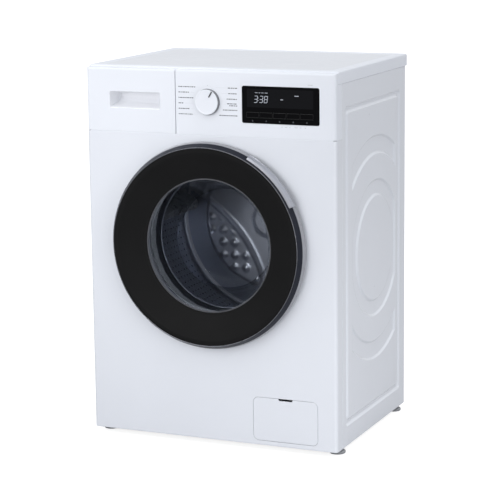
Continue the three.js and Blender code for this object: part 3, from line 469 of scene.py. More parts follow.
FINISHES = {
    "white_enamel": finish("white_enamel", (0.78, 0.805, 0.86), 0.34, spread=0.008, grain=420, bump=0.03,
                           Coat_Weight=1.0, Coat_Roughness=0.16, Coat_IOR=1.7),
    "white_plastic": finish("white_plastic", (0.79, 0.815, 0.87), 0.38, spread=0.008, grain=1500, bump=0.03),
    # a brighter copy of the white plastic for the drawer's scoop: painted light that lifts the recess out of
    # its own shade
    "recess_white_painted_light": finish("recess_white_painted_light", (0.93, 0.94, 0.97), 0.45, spread=0.006, grain=1500, bump=0.03),
    "worktop_field": finish("worktop_field", (0.74, 0.755, 0.79), 0.45, spread=0.012, grain=900, bump=0.16,
                            rough_spread=0.08),
    "grey_plastic": finish("grey_plastic", (0.30, 0.31, 0.33), 0.5, spread=0.04, grain=1400, bump=0.12),
    "dark_plastic": finish("dark_plastic", (0.014, 0.016, 0.025), 0.36, spread=0.06, grain=1400, bump=0.03,
                           Specular_IOR_Level=0.2),
    "rim_side": finish("rim_side", (0.31, 0.315, 0.34), 0.3, spread=0.04, grain=1400, bump=0.04),
    "dial_side": finish("dial_side", (0.20, 0.205, 0.22), 0.35, metal=0.3, spread=0.03, bump=0.03),
    "silver_plastic": finish("silver_plastic", (0.44, 0.45, 0.49), 0.3, metal=0.8, spread=0.01, grain=900,
                             rough_spread=0.02, bump=0.008),
    "bright_trim": finish("bright_trim", (0.2, 0.205, 0.225), 0.3, metal=1.0, spread=0.02, bump=0.01),
    "black_glass": finish("black_glass", (0.0025, 0.0025, 0.003), 0.05, spread=0.1, rough_spread=0.015,
                          grain=60, bump=0.004, Specular_IOR_Level=0.08),
    "screen_glass": finish("screen_glass", (0.0065, 0.0068, 0.008), 0.08, spread=0.08, rough_spread=0.02,
                           grain=60, bump=0.004, Specular_IOR_Level=0.1),
    "gloss_black": finish("gloss_black", (0.0115, 0.0115, 0.0118), 0.42, spread=0.05, rough_spread=0.03,
                          grain=60,
                          bump=0.004, Specular_IOR_Level=0.03),
    "window_edge": finish("window_edge", (0.085, 0.088, 0.10), 0.4, spread=0.04, bump=0.02),
    "bowl_glass": pane("bowl_glass", (0.93, 0.945, 0.965), 0.02, 0.5),
    "stainless_steel": finish("stainless_steel", (0.52, 0.53, 0.56), 0.28, metal=1.0, spread=0.04,
                              stretch=(1, 0.05, 1), bump=0.06),
    "drum_steel": drum_steel(),
    "drum_back": finish("drum_back", (0.60, 0.61, 0.66), 0.40, metal=0.9, spread=0.03, rough_spread=0.02,
                        bump=0.02),
    "cast_alloy": finish("cast_alloy", (0.42, 0.43, 0.45), 0.52, metal=0.9, spread=0.08, grain=500, bump=0.4),
    "galvanised_steel": finish("galvanised_steel", (0.46, 0.48, 0.50), 0.42, metal=0.9, spread=0.12,
                               mottle=60, grain=250, bump=0.05),
    "grey_rubber": finish("grey_rubber", (0.22, 0.225, 0.25), 0.46, spread=0.06, grain=1100, bump=0.1),
    "black_rubber": finish("black_rubber", (0.022, 0.022, 0.024), 0.62, spread=0.1, grain=1100, bump=0.15),
    "foot_pad": finish("foot_pad", (0.36, 0.37, 0.39), 0.34, metal=0.4, spread=0.06, grain=1100, bump=0.06),
    "concrete": finish("concrete", (0.33, 0.31, 0.28), 0.92, spread=0.18, mottle=40, grain=260, bump=0.8,
                       relief=0.0008),
    "circuit_board": finish("circuit_board", (0.03, 0.12, 0.06), 0.45, spread=0.25, mottle=180, bump=0.1),
    "tub_plastic": finish("tub_plastic", (0.52, 0.54, 0.57), 0.55, spread=0.04, grain=900, bump=0.15),
    "grey_print": finish("grey_print", (0.10, 0.105, 0.12), 0.6, spread=0.05, bump=0.02),
    "pointer_print": finish("pointer_print", (0.04, 0.042, 0.05), 0.5, spread=0.05, bump=0.02),
    "key_print": finish("key_print", (0.008, 0.008, 0.010), 0.4, spread=0.08, bump=0.02),
    # near-black for the screws' cross recesses: painted shade, not a colour of the steel
    "cross_painted_shade": finish("cross_painted_shade", (0.01, 0.01, 0.012), 0.8, spread=0.1, bump=0.05),
    "lit_print": glow("lit_print", (0.44, 0.47, 0.53), 0.35),
    "dim_print": glow("dim_print", (0.07, 0.075, 0.085), 0.3),
}


# ---------------------------------------------------------------- pieces

def piece(name, shape, finishes, body, nodes=(), sharp=32.0, weighted=True):
    """Makes the object for a shape, in metres, riding on its body and standing for its CAD nodes."""
    mesh = bpy.data.meshes.new(name)
    bm = bmesh.new()
    spots = [bm.verts.new((x * MM, (y + FRONT) * MM, z * MM)) for x, y, z in shape.points]
    for face, number in zip(shape.faces, shape.finishes):
        if len({spots[i] for i in face}) < 3:
            continue
        made = bm.faces.new([spots[i] for i in face])
        made.material_index = number
        made.smooth = True
    bmesh.ops.remove_doubles(bm, verts=bm.verts, dist=4e-6)
    bmesh.ops.dissolve_degenerate(bm, edges=bm.edges, dist=1e-7)
    loose = [v for v in bm.verts if not v.link_faces]
    bmesh.ops.delete(bm, geom=loose, context="VERTS")
    bmesh.ops.recalc_face_normals(bm, faces=bm.faces)
    bm.to_mesh(mesh)
    bm.free()
    mesh.set_sharp_from_angle(angle=math.radians(sharp))
    made = bpy.data.objects.new(name, mesh)
    bpy.context.scene.collection.objects.link(made)
    for material in finishes:
        mesh.materials.append(FINISHES[material])
    if weighted:
        modifier = made.modifiers.new("flat_faces", "WEIGHTED_NORMAL")
        modifier.keep_sharp = True
        modifier.weight = 80
    if body is not None:
        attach(made, body)
    if nodes:
        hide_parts(*nodes)
    return made


def carve(made, *boxes):
    """Cuts boxes of (x, depth, z) limits out of a piece, one at a time."""
    for box in boxes:
        cutter = Shape()
        cutter.block(*box, edge=0.3, steps=1)
        mesh = bpy.data.meshes.new("cutter")
        points = [(x * MM, (y + FRONT) * MM, z * MM) for x, y, z in cutter.points]
        mesh.from_pydata(points, [], cutter.faces)
        bm = bmesh.new()
        bm.from_mesh(mesh)
        bmesh.ops.remove_doubles(bm, verts=bm.verts, dist=1e-6)
        bmesh.ops.recalc_face_normals(bm, faces=bm.faces)
        bm.to_mesh(mesh)
        bm.free()
        tool = bpy.data.objects.new("cutter", mesh)
        bpy.context.scene.collection.objects.link(tool)
        bpy.context.view_layer.update()
        cut = made.modifiers.new("cut", "BOOLEAN")
        cut.operation = "DIFFERENCE"
        cut.solver = "EXACT"
        cut.use_self = True
        cut.object = tool
        made.modifiers.move(len(made.modifiers) - 1, 0)
        with bpy.context.temp_override(object=made, active_object=made, selected_objects=[made]):
            bpy.ops.object.modifier_apply(modifier="cut")
        bpy.data.objects.remove(tool)
    return made


# ---------------------------------------------------------------- cabinet

def wall_hole(outline, depth):
    """A plain hole with a small rounded edge, through a wall of that thickness."""
    grown = [(0.5, 0.0), (0.15, 0.15), (0.0, 0.5), (0.0, depth)]
    return [[(u, d, v) for u, v in outline(-g)] for g, d in grown]


def front_sheet():
    steps = 120
    collar = [(OPENING_R + 6, 0), (OPENING_R + 3.6, 0.35), (OPENING_R + 1.6, 1.5), (OPENING_R + 0.4, 3.6),
              (OPENING_R, 6), (OPENING_R, 10), (OPENING_R + SHEET, 10), (OPENING_R + SHEET, 6.2),
              (OPENING_R + 1.7, 4.2), (OPENING_R + 3.0, 2.4), (OPENING_R + 5.6, SHEET)]
    door_hole = [[(u, d, v) for u, v in circle(AXIS, r, steps)] for r, d in collar]
    gap = 0.6  # round the flap
    flap_hole = wall_hole(lambda g: rounded_rect(
        FLAP.x0 - gap + g, FLAP.x1 + gap - g, FLAP.z0 - gap + g, FLAP.z1 + gap - g, 13, 8), SHEET)
    hinge, hook = box_of("hinge_bracket"), box_of("door_hook")
    slots = []
    for side in (-1, 1):
        z = hinge.z + side * 21.5
        slots.append(wall_hole(lambda g, z=z: rounded_rect(
            hinge.x1 - 14.5 + g, hinge.x1 - 3.5 - g, z - 3.2 + g, z + 3.2 - g, 1, 2), SHEET))
    slots.append(wall_hole(lambda g: rounded_rect(
        hook.x0 - 4 + g, hook.x1 + 2 - g, hook.z - 8 + g, hook.z + 8 - g, 1, 2), SHEET))
    shape = Shape()
    front_shell(shape, (PANEL.x0, PANEL.x1), (PANEL.z0, PANEL.z1), (CORNER_R, CORNER_R, 1.5, 0.35), 10, SHEET,
                [door_hole, flap_hole, *slots])
    for side in (-1, 1):
        x = sorted((side * (PANEL.x1 - 0.03), side * (PANEL.x1 - SHEET)))
        shape.block(x, (9.5, PANEL.y1 - 0.9), (PANEL.z0, PANEL.z1), 0.3)
        x = sorted((side * (PANEL.x1 - 0.4), side * (PANEL.x1 - SHEET)))
        shape.block(x, (8, PANEL.y1 - 1.2), (PANEL.z1 - 0.5, FASCIA.z0 - 0.03), 0.1, steps=1)
    shape.block((-290, 290), (9.5, 30), (PANEL.z1 - SHEET, PANEL.z1 - 0.1), 0.3)
    shape.block((DRAWER.x1, 291), (0.5, 1.5), (PANEL.z1 - 0.6, FASCIA.z0 + 0.2), 0.1, steps=1)
    shape.block((-291, DRAWER.x1), (0.4, 1.5), (PANEL.z1 - 0.6, DRAWER.z0 - 0.03), 0.1, steps=1)
    piece("front_sheet", shape, ["white_enamel"], "root", ["front_panel"])


def clipped_circle(radius, inset, centre, limits, steps=28):
    """A circle cut off by two upright lines."""
    low, high = limits[0] + inset, limits[1] - inset
    right = math.degrees(math.acos(min((high - centre[0]) / radius, 1.0)))
    left = math.degrees(math.acos(min((centre[0] - low) / radius, 1.0)))
    return arc(centre, radius, right, 180 - left, steps) + arc(centre, radius, 180 + left, 360 - right, steps)


def band_end(centre, radius, limit, side, upper):
    """The angle at which a circle meets an upright line."""
    reach = math.degrees(math.acos((limit - centre[0]) * side / radius))
    angle = reach if side > 0 else 180 - reach
    return angle if upper else -angle


def groove_contours(points=28):
    """The pressed grooves of a side panel as contours in depth and height, each with its own level."""
    section = [(0, 0), (1.0, 0.25), (2.2, 1.1), (3.6, 2.4), (5.0, 3.5), (6.6, 4.0)]
    centre, limits = (250, 429), (96, 384)
    contours = []
    for inset, level in section:
        contours.append((rounded_rect(54 + inset, 415 - inset, 58 + inset, 772 - inset, max(9 - inset, 1.5),
                                      8), level))
        contours.append((rounded_rect(71 - inset, 398 + inset, 76 - inset, 755 + inset, 5 + inset, 8), level))
        contours.append((clipped_circle(158 - inset, inset, centre, limits), level))
        contours.append((circle(centre, 118 + inset, 72), level))
        for upper in (True, False):
            outer, inner = 258 - inset, 213 + inset
            high, low = limits[1] - inset, limits[0] + inset
            ends = [band_end(centre, r, limit, side, upper)
                    for r in (outer, inner) for limit, side in ((high, 1), (low, -1))]
            loop = arc(centre, outer, ends[0], ends[1], points) + arc(centre, inner, ends[3], ends[2], points)
            contours.append((loop, level))
    return contours


def side_sheet(side, name, node):
    shape = Shape()
    y, z = (SIDE.y0, SIDE.y1), (SIDE.z0, SIDE.z1)
    edge = [(0, 0.7), (0.1, 0.3), (0.3, 0.08), (0.7, 0.0)]  # inset and level of the rounded edge
    def place(u, v, level):
        return (side * (SIDE.x1 - level), u, v)
    def outline(inset):
        return rounded_rect(y[0] + inset, y[1] - inset, z[0] + inset, z[1] - inset, 2.0, 3)
    rows = [[place(u, v, level) for u, v in outline(inset)] for inset, level in edge]
    back = [place(u, v, SHEET + 0.2) for u, v in outline(1.6)]
    shape.loft([back, [place(u, v, 1.35) for u, v in outline(0.3)], *rows])
    grooves = groove_contours()
    shape.fill([(outline(edge[-1][0]), 0.0), *grooves], place)
    shape.fill([(outline(1.6), SHEET + 0.2), *[(loop, level + SHEET + 0.2) for loop, level in grooves]],
               place)
    x = sorted((side * (SIDE.x1 - 19), side * (SIDE.x1 - 0.3)))
    shape.block(x, (SIDE.y1 - SHEET, SIDE.y1), (z[0] + 0.5, z[1] - 0.5), 0.3)
    x = sorted((side * (SIDE.x1 - 14), side * (SIDE.x1 - 0.3)))
    shape.block(x, (y[0] + 0.5, y[1] - 0.5), (z[1] - SHEET, z[1]), 0.3)
    spring = box_of("spring_right")
    x = sorted((side * (spring.x - 7), side * (SIDE.x1 - 0.5)))
    shape.block(x, (spring.y - 8, spring.y + 8), (spring.z1 + 0.3, spring.z1 + 4), 0.6)
    piece(name, shape, ["white_enamel"], "root", [node])


def worktop():
    """The top is a shallow tray: a round edge, a flat rim, and a field a little lower."""
    shape = Shape()
    top, low = WORKTOP.z1, WORKTOP.z0
    def outline(inset, front=0.0, rear=0.0, radius=6.0):
        return rounded_rect(WORKTOP.x0 + inset, WORKTOP.x1 - inset, WORKTOP.y0 + inset + front,
                            WORKTOP.y1 - inset - rear, radius, 8)
    edge = [(0.8, low), (0.2, low + 0.3), (0, low + 0.9), (0, top - 4.2), (0.25, top - 2.8), (0.9, top - 1.5),
            (2.0, top - 0.55), (3.4, top - 0.1), (5.0, top)]
    rim, front, rear = 26.0, -2.0, 0.0
    step = [(rim - 2.4, top), (rim - 1.7, top - 0.12), (rim - 0.9, top - 0.5), (rim - 0.3, top - 0.88),
            (rim, top - 1.0)]
    under = [(4.0, low), (4.0, top - 6)]
    rows = [[(u, v, z) for u, v in outline(i)] for i, z in reversed(under)]
    rows += [[(u, v, z) for u, v in outline(i)] for i, z in edge]
    shape.loft(rows)
    shape.fill([(outline(4.0), top - 6)], lambda u, v, h: (u, v, h))
    shape.fill([(outline(5.0), top)], lambda u, v, h: (u, v, h),
               holes=[(outline(step[0][0], front, rear, 10), top)])
    shape.loft([[(u, v, z) for u, v in outline(i, front, rear, 10)] for i, z in step])
    shape.fill([(outline(rim, front, rear, 10), top - 1.0)], lambda u, v, h: (u, v, h), finish=1)
    piece("worktop_board", shape, ["white_plastic", "worktop_field"], "root", ["worktop"])


def screw(shape, x, depth, z, radius=4.2, finish=0):
    """A pan head with its cross recess drawn as a dark shallow well: a near-black cross, painted shade in
    place of the recess's depth.
    """
    head = [(0, -1.7), (radius * 0.35, -1.65), (radius * 0.7, -1.35), (radius * 0.93, -0.8), (radius, 0),
            (0, 0)]
    shape.revolve([(r, depth - d) for r, d in head], 20, (x, z), finish=finish, closed=False)
    # the near-black cross is painted shade standing for the recess
    for w, h in ((0.9, 3.6), (3.6, 0.9)):
        shape.block((x - w / 2, x + w / 2), (depth + 1.4, depth + 1.78), (z - h / 2, z + h / 2), 0.1,
                    finish + 1, 1)


def rear_side():
    """Rear sheet with pressed beads and ports, its access cover, screws and four transport bolt caps."""
    y = REAR.y1
    shape = Shape()
    bead = [(0, 0), (1.0, 0.3), (2.4, 1.4), (3.6, 1.9)]
    beads = []
    for x0, x1, z0, z1 in ((-250, 250, 100, 120), (-250, 250, 150, 170), (-250, 250, 200, 220),
                           (-150, 150, 690, 712),
                           (-150, 150, 742, 764)):
        for inset, level in bead:
            beads.append((rounded_rect(x0 + inset, x1 - inset, z0 + inset, z1 - inset, 9.9 - inset, 6),
                          -level))
    ports = [(box_of("inlet_valve"), 15.5), (box_of("mains_inlet"), 11.0)]
    holes = [(circle((-230, 780), ports[0][1], 32), 0), (circle((230, 775), ports[1][1], 32), 0),
             (circle((230, 715), 13, 32), 0), (rounded_rect(-165, 165, 295, 625, 20), 0)]
    outline = rounded_rect(REAR.x0, REAR.x1, REAR.z0, REAR.z1, 4)
    for level in (0, -SHEET):
        shape.fill([(outline, 0), *beads], lambda u, v, h, s=level: (u, y + h + s, v), holes)
    for loop in [outline] + [h[0] for h in holes]:
        shape.loft([[(u, y, v) for u, v in loop], [(u, y - SHEET, v) for u, v in loop]])
    piece("rear_sheet", shape, ["white_enamel"], "root", ["rear_panel"])

    cover = Shape()
    flat = COVER.y1 - 6 + SHEET
    rise = [(0, 0), (1.0, 0.35), (2.6, 2.2), (4.2, 4.2), (5.6, 4.8)]
    panel = rounded_rect(COVER.x0, COVER.x1, COVER.z0, COVER.z1, 14, 8)
    steps = [(rounded_rect(-155 + i, 155 - i, 305 + i, 615 - i, 24 - i, 8), h) for i, h in rise]
    rings = [(circle((0, 460), 92 - i, 72), 4.8 - h * 0.5) for i, h in rise]
    rings += [(circle((0, 460), 52 + i, 72), 4.8 - h * 0.5) for i, h in rise]
    for level in (0, -SHEET):
        cover.fill([(panel, 0), *steps, *rings], lambda u, v, h, s=level: (u, flat + h + s, v))
    cover.loft([[(u, flat, v) for u, v in panel], [(u, flat - SHEET, v) for u, v in panel]])
    piece("rear_cover", cover, ["white_enamel"], "root", ["rear_access_cover"])

    screws = Shape()
    for x in (-172, 0, 172):
        for z in (287, 633):
            screw(screws, x, flat, z)
    for z in (400, 520):
        screw(screws, -172, flat, z)
        screw(screws, 172, flat, z)
    for side in (-1, 1):
        for z in (60, 240, 420, 600, 790):
            screw(screws, side * 288, SIDE.y1, z)
    piece("rear_screws", screws, ["galvanised_steel", "cross_painted_shade"], "root")

    caps = Shape()
    for x in (-150, 150):
        for z in (255, 665):
            caps.revolve([(0, y + 4.2), (10, y + 4.0), (14, y + 3.0), (16, y + 1.0), (16.4, y), (0, y)], 40,
                         (x, z), closed=False)
    piece("transport_caps", caps, ["grey_plastic"], "root")


def feet():
    names = ["foot_front_left", "foot_front_right", "foot_rear_left", "foot_rear_right"]
    for name in names:
        b = box_of(name)
        shape = Shape()
        pad = [(0, 0), (15.4, 0), (17.2, 0.5), (18, 1.8), (18, 4.6), (17.2, 5.8), (13.4, 8.2), (9.6, 9.4)]
        stem = [(9.6, 9.4), (8.6, 10.0), (8.6, 12.4), (8.0, 15.0), (4.6, 15.4)]
        thread = [(4.6 + (0.5 if i % 2 else 0.0), 15.4 + i * 0.62) for i in range(31)]
        shape.upright(pad, b.x, b.y, finish=1)
        shape.upright(stem, b.x, b.y)
        shape.upright(thread + [(0, thread[-1][1])], b.x, b.y)
        for k in range(6):  # flats for a spanner round the stem
            a = math.radians(60 * k + 30)
            u, v = b.x + 7.2 * math.cos(a), b.y + 7.2 * math.sin(a)
            shape.block((u - 1.6, u + 1.6), (v - 1.6, v + 1.6), (9.8, 14.6), 0.5)
        piece(name + "_levelling", shape, ["black_rubber", "foot_pad"], name, [name])


# ---------------------------------------------------------------- controls

def fascia():
    left, right = DRAWER.x1 + 1.5, FASCIA.x1
    window = wall_hole(lambda g: rounded_rect(DISPLAY_FACE.x0 + g, DISPLAY_FACE.x1 - g, DISPLAY_FACE.z0 + g,
                                              DISPLAY_FACE.z1 - g, 4.4, 6), 3.0)
    dial = wall_hole(lambda g: circle((DIAL.x, DIAL.z), 9 - g, 32), 3.0)
    shape = Shape()
    front_shell(shape, (left, right), (FASCIA.z0, FASCIA.z1), (0.5, CORNER_R, 0.35, 5.0), 14.6, 3.0,
                [window, dial])
    depth, top = FASCIA.y1 - 0.2, SIDE.z1
    shape.block((right - 3, right - 0.03), (12, depth), (FASCIA.z0, top), 0.35)
    shape.block((FASCIA.x0, FASCIA.x0 + 3), (16, depth), (FASCIA.z0, top), 0.35)
    shape.block((left, left + 3), (3, 19), (FASCIA.z0, top), 0.35)
    tray = box_of("drawer_tray")
    x0, x1, z0, z1 = tray.x0 - 2, tray.x1 + 2, tray.z0 - 2.5, tray.z1 + 7
    outline = rounded_rect(FASCIA.x0, left + 2, FASCIA.z0, top, 1, 2)
    slot = rounded_rect(x0, x1, z0, z1, 3, 4)
    for y in (16, 19):
        shape.fill([(outline, 0)], lambda u, v, h, d=y: (u, d, v), [(slot, 0)])
    for loop in (outline, slot):
        shape.loft([[(u, 16, v) for u, v in loop], [(u, 19, v) for u, v in loop]])
    piece("fascia_moulding", shape, ["white_plastic"], "root", ["control_fascia"])


def display_face():
    """The glass stands in its frame, whose rim the CAD node carries behind the fascia."""
    key = box_of("key_1")
    rim = 4.4  # how far the glass's hidden rim reaches past its face
    return SimpleNamespace(x0=DISPLAY.x0 + rim - 0.4, x1=DISPLAY.x1 - rim + 0.4, z0=DISPLAY.z0 + rim - 0.4,
                           z1=DISPLAY.z1 - rim + 0.4, y=DISPLAY.y0, keys_z0=key.z0, keys_z1=key.z1)


DISPLAY_FACE = display_face()


def display():
    f = DISPLAY_FACE
    keys = box_of(*[f"key_{n}" for n in range(1, 6)])
    shape = Shape()
    face = [(1.0, f.y), (0.5, f.y + 0.15), (0.4, f.y + 0.6), (0.4, 4.4)]
    rows = [[(u, d, v) for u, v in rounded_rect(f.x0 + i, f.x1 - i, f.z0 + i, f.z1 - i, 3.8, 6)] for i,
            d in face]
    slot = rounded_rect(keys.x0 - 0.35, keys.x1 + 0.35, keys.z0 - 0.35, keys.z1 + 0.35, 0.8, 3)
    screen = rounded_rect(f.x0 + 12, f.x1 - 14, keys.z1 + 10, f.z1 - 6, 1.5, 3)
    shape.loft(rows)
    contour = [(u, v) for u, _, v in rows[0]]
    shape.fill([(contour, 0), (screen, 0)], lambda u, v, h: (u, f.y, v), [(slot, 0)], [(screen, 1)])
    shape.fill([([(u, v) for u, _, v in rows[-1]], 0)], lambda u, v, h: (u, 4.4, v), [(slot, 0)])
    shape.loft([[(u, f.y, v) for u, v in slot], [(u, 4.4, v) for u, v in slot]])
    piece("display_glass", shape, ["black_glass", "screen_glass"], "root", ["display_window"])


def stroke(shape, outline, depth, finish=0, thick=0.06):
    """A flat printed mark a hair above a face."""
    rows = [[(u, depth - thick, v) for u, v in outline], [(u, depth, v) for u, v in outline]]
    shape.loft(rows, finish, caps=True)


def bar(shape, x0, x1, z0, z1, depth, finish=0):
    stroke(shape, rounded_rect(x0, x1, z0, z1, min(x1 - x0, z1 - z0) * 0.3, 2), depth, finish)


SEGMENTS = {"0": "abcdef", "3": "abcdg", "8": "abcdefg"}


def digit(shape, figure, x, z, width, height, depth):
    """One seven segment figure, leaning a little to the right."""
    t, lean = 1.0, 0.13
    def leaning(points):
        return [(u + (v - z) * lean, v) for u, v in points]
    half = height / 2
    places = {
        "a": (x + 0.6, x + width - 0.6, z + height - t, z + height),
        "d": (x + 0.6, x + width - 0.6, z, z + t),
        "g": (x + 0.6, x + width - 0.6, z + half - t / 2, z + half + t / 2),
        "b": (x + width - t, x + width, z + half + 0.4, z + height - 0.6),
        "c": (x + width - t, x + width, z + 0.6, z + half - 0.4),
        "f": (x, x + t, z + half + 0.4, z + height - 0.6),
        "e": (x, x + t, z + 0.6, z + half - 0.4),
    }
    for name in SEGMENTS[figure]:
        u0, u1, v0, v1 = places[name]
        stroke(shape, leaning(rounded_rect(u0, u1, v0, v1, 0.5, 2)), depth)


def display_marks():
    """Lit figures and plain marks on the screen, with no lettering."""
    f = DISPLAY_FACE
    y = f.y - 0.02
    lit = Shape()
    x, z = f.x0 + 28.2, f.z0 + 45.2
    for figure, step in (("3", 0), ("3", 12.4), ("8", 23.4)):
        digit(lit, figure, x + step, z, 8.0, 15.0, y)
    for v in (z + 4.2, z + 10.0):
        bar(lit, x + 9.9, x + 11.2, v, v + 1.3, y)
    for u, w in ((4.5, 6.4), (13.2, 4.0), (19.4, 5.6), (27.4, 7.0)):
        bar(lit, x + u - 1.5, x + u - 1.5 + w, f.z0 + 66.4, f.z0 + 67.3, y)
    bar(lit, f.x0 + 90.5, f.x0 + 96.5, f.z0 + 52.8, f.z0 + 54.0, y)
    bar(lit, f.x0 + 123, f.x0 + 132.5, f.z0 + 61.6, f.z0 + 63.0, y)
    piece("display_figures", lit, ["lit_print"], "root", weighted=False)
    dim = Shape()
    for n in range(1, 6):
        key = box_of(f"key_{n}")
        u, v = key.x, f.z0 + 5.4
        outer, inner = circle((u, v), 1.5, 20), circle((u, v), 0.9, 20)
        dim.fill([(outer, 0)], lambda a, b, h: (a, y - 0.05, b), [(inner, 0)])
        dim.loft([[(a, y - 0.05, b) for a, b in outer], [(a, y + 0.01, b) for a, b in outer]])
        bar(dim, u - 0.35, u + 0.35, v + 0.4, v + 2.4, y)
    piece("display_symbols", dim, ["dim_print"], "root", weighted=False)


def keys():
    for n in range(1, 6):
        b = box_of(f"key_{n}")
        cap = Shape()
        face = [(0.5, b.y0), (0.15, b.y0 + 0.12), (0, b.y0 + 0.5), (0, 3.0)]
        rows = [[(u, d, v) for u, v in rounded_rect(b.x0 + i, b.x1 - i, b.z0 + i, b.z1 - i, 0.9, 4)] for i,
                d in face]
        cap.loft(rows, caps=True)
        cap.revolve([(0, 2.8), (2.5, 2.8), (2.5, b.y1 - 0.4), (2.1, b.y1), (0, b.y1)], 20, (b.x, b.z),
                    closed=False)
        y = b.y0 - 0.01
        outer = rounded_rect(b.x0 + 0.8, b.x1 - 0.8, b.z0 + 0.6, b.z1 - 0.6, 0.8, 3)
        inner = rounded_rect(b.x0 + 1.15, b.x1 - 1.15, b.z0 + 1.15, b.z1 - 1.15, 0.5, 3)
        cap.fill([(outer, 0)], lambda u, v, h: (u, y, v), [(inner, 0)], finish=1)
        cap.loft([[(u, y, v) for u, v in outer], [(u, y + 0.02, v) for u, v in outer]], 1)
        cap.loft([[(u, y, v) for u, v in inner], [(u, y + 0.02, v) for u, v in inner]], 1)
        piece(f"key_cap_{n}", cap, ["black_glass", "key_print"], f"key_{n}", [f"key_{n}"])


def dial():
    """A plain round knob with a dark pointer let into its face."""
    r, face = DIAL.x1 - DIAL.x, DIAL.y0
    centre = (DIAL.x, DIAL.z)
    shape = Shape()
    profile = [(0, face + 0.5), (r - 6, face + 0.5), (r - 4.6, face + 0.25), (r - 3.9, face),
               (r - 2.7, face + 0.05),
               (r - 1.7, face + 0.45), (r - 1.3, face + 1.1), (r - 1.1, face + 2), (r, -2.6), (r, -1.2),
               (7, -1.2),
               (7, 6), (3, 6), (3, DIAL.y1), (0, DIAL.y1)]
    shape.revolve(profile, 96, centre, closed=False,
                  finish=[2 if p[0] >= r - 1.31 and q[0] >= r - 1.31 else 0 for p,
                          q in zip(profile, profile[1:])])
    lean = math.radians(90 - 31)
    across = Vector((-math.sin(lean), math.cos(lean)))
    along = Vector((math.cos(lean), math.sin(lean)))
    start = Vector(centre)
    mark = [start + along * a + across * w for a,
            w in ((12.8, -1.3), (r - 2.0, -1.5), (r - 2.0, 1.5), (12.8, 1.3))]
    stroke(shape, [tuple(p) for p in mark], face + 0.02, 1, 0.5)
    piece("dial_knob", shape, ["white_plastic", "pointer_print", "dial_side"], "dial",
          ["program_dial"])
    seat = Shape()
    seat.revolve([(r + 0.2, -0.35), (r + 1.6, -0.3), (r + 2.2, 0.05), (r + 0.2, 0.05)], 96, centre)
    piece("dial_seat", seat, ["white_plastic"], "root")


def program_marks():
    """Two columns of plain dashes where the machine has its program list, with thin leaders to the dial."""
    shape = Shape()
    pitch, first = 12.0, DIAL.z + 31.6
    left, right = DIAL.x - 70.5, DIAL.x + 70.0
    words = [3.4, 5.2, 2.6, 6.0, 4.4, 3.0, 5.6]
    def dashes(x0, length, z, start):
        x, k = x0, start
        while x < x0 + length - 1.0:
            width = min(words[k % len(words)], x0 + length - x)
            bar(shape, x, x + width, z - 0.95, z + 0.95, 0, 0)
            x += width + 1.1
            k += 1
    for row, length in enumerate((41, 26, 36, 12, 28, 34)):
        z = first - pitch * row
        dashes(left, length, z, row)
        reach = max(-math.sqrt(max(36.0 ** 2 - (z - DIAL.z) ** 2, 0)),
                    -34) - 2 if abs(z - DIAL.z) < 34 else -12.0
        if left + length + 3 < DIAL.x + reach:
            bar(shape, left + length + 3, DIAL.x + reach, z - 0.1, z + 0.1, 0, 1)
    for row, length in enumerate((22, 21, 25, 24, 34, 43)):
        z = first - pitch * row
        if row == 3:
            dashes(right - length, length, z + 1.9, row)
            dashes(right - length + 5, length - 5, z - 2.3, row + 2)
        else:
            dashes(right - length, length, z, row + 3)
        reach = math.sqrt(max(36.0 ** 2 - (z - DIAL.z) ** 2, 0)) + 2 if abs(z - DIAL.z) < 34 else 12.0
        if DIAL.x + reach < right - length - 3:
            bar(shape, DIAL.x + reach, right - length - 3, z - 0.1, z + 0.1, 0, 1)
    f = DISPLAY_FACE
    for u, w in ((92, 3), (100, 6), (110, 3), (122, 8), (134, 4), (146, 3)):
        bar(shape, f.x0 + u, f.x0 + u + w, f.z0 - 6.1, f.z0 - 5.1, 0, 1)
    bar(shape, f.x1 - 27, f.x1 - 15, f.z1 + 5.4, f.z1 + 6.4, 0, 1)
    bar(shape, DIAL.x - 1.2, DIAL.x + 1.2, DIAL.z + 35, DIAL.z + 36, 0, 1)
    piece("program_marks", shape, ["grey_print", "pale_print"], "root", weighted=False)


FINISHES["pale_print"] = finish("pale_print", (0.50, 0.51, 0.54), 0.6, spread=0.04, bump=0.02)


# ---------------------------------------------------------------- drawer

def pocket(shape, x0, x1, profile, soften, finish=0):
    """A scoop with an open front: its (depth, z) profile runs across from x0 to x1. Returns its mouth."""
    middle = (profile[0][1] + profile[-1][1]) / 2
    ends = [(0.0, 0.86), (0.12, 0.93), (0.4, 0.98), (1.0, 1.0)]
    stations = [(x0 + soften * a, s) for a, s in ends] + [(x1 - soften * a, s) for a, s in reversed(ends)]
    rows = [[(x, d * (1 if d <= 0 else s), middle + (z - middle) * s) for d, z in profile] for x,
            s in stations]
    shape.loft(rows, finish, closed=False)
    for row in (rows[0], rows[-1]):
        shape.add(row, [list(range(len(row)))], finish)
    return [(row[0][0], row[0][2]) for row in rows] + [(row[-1][0], row[-1][2]) for row in reversed(rows)]


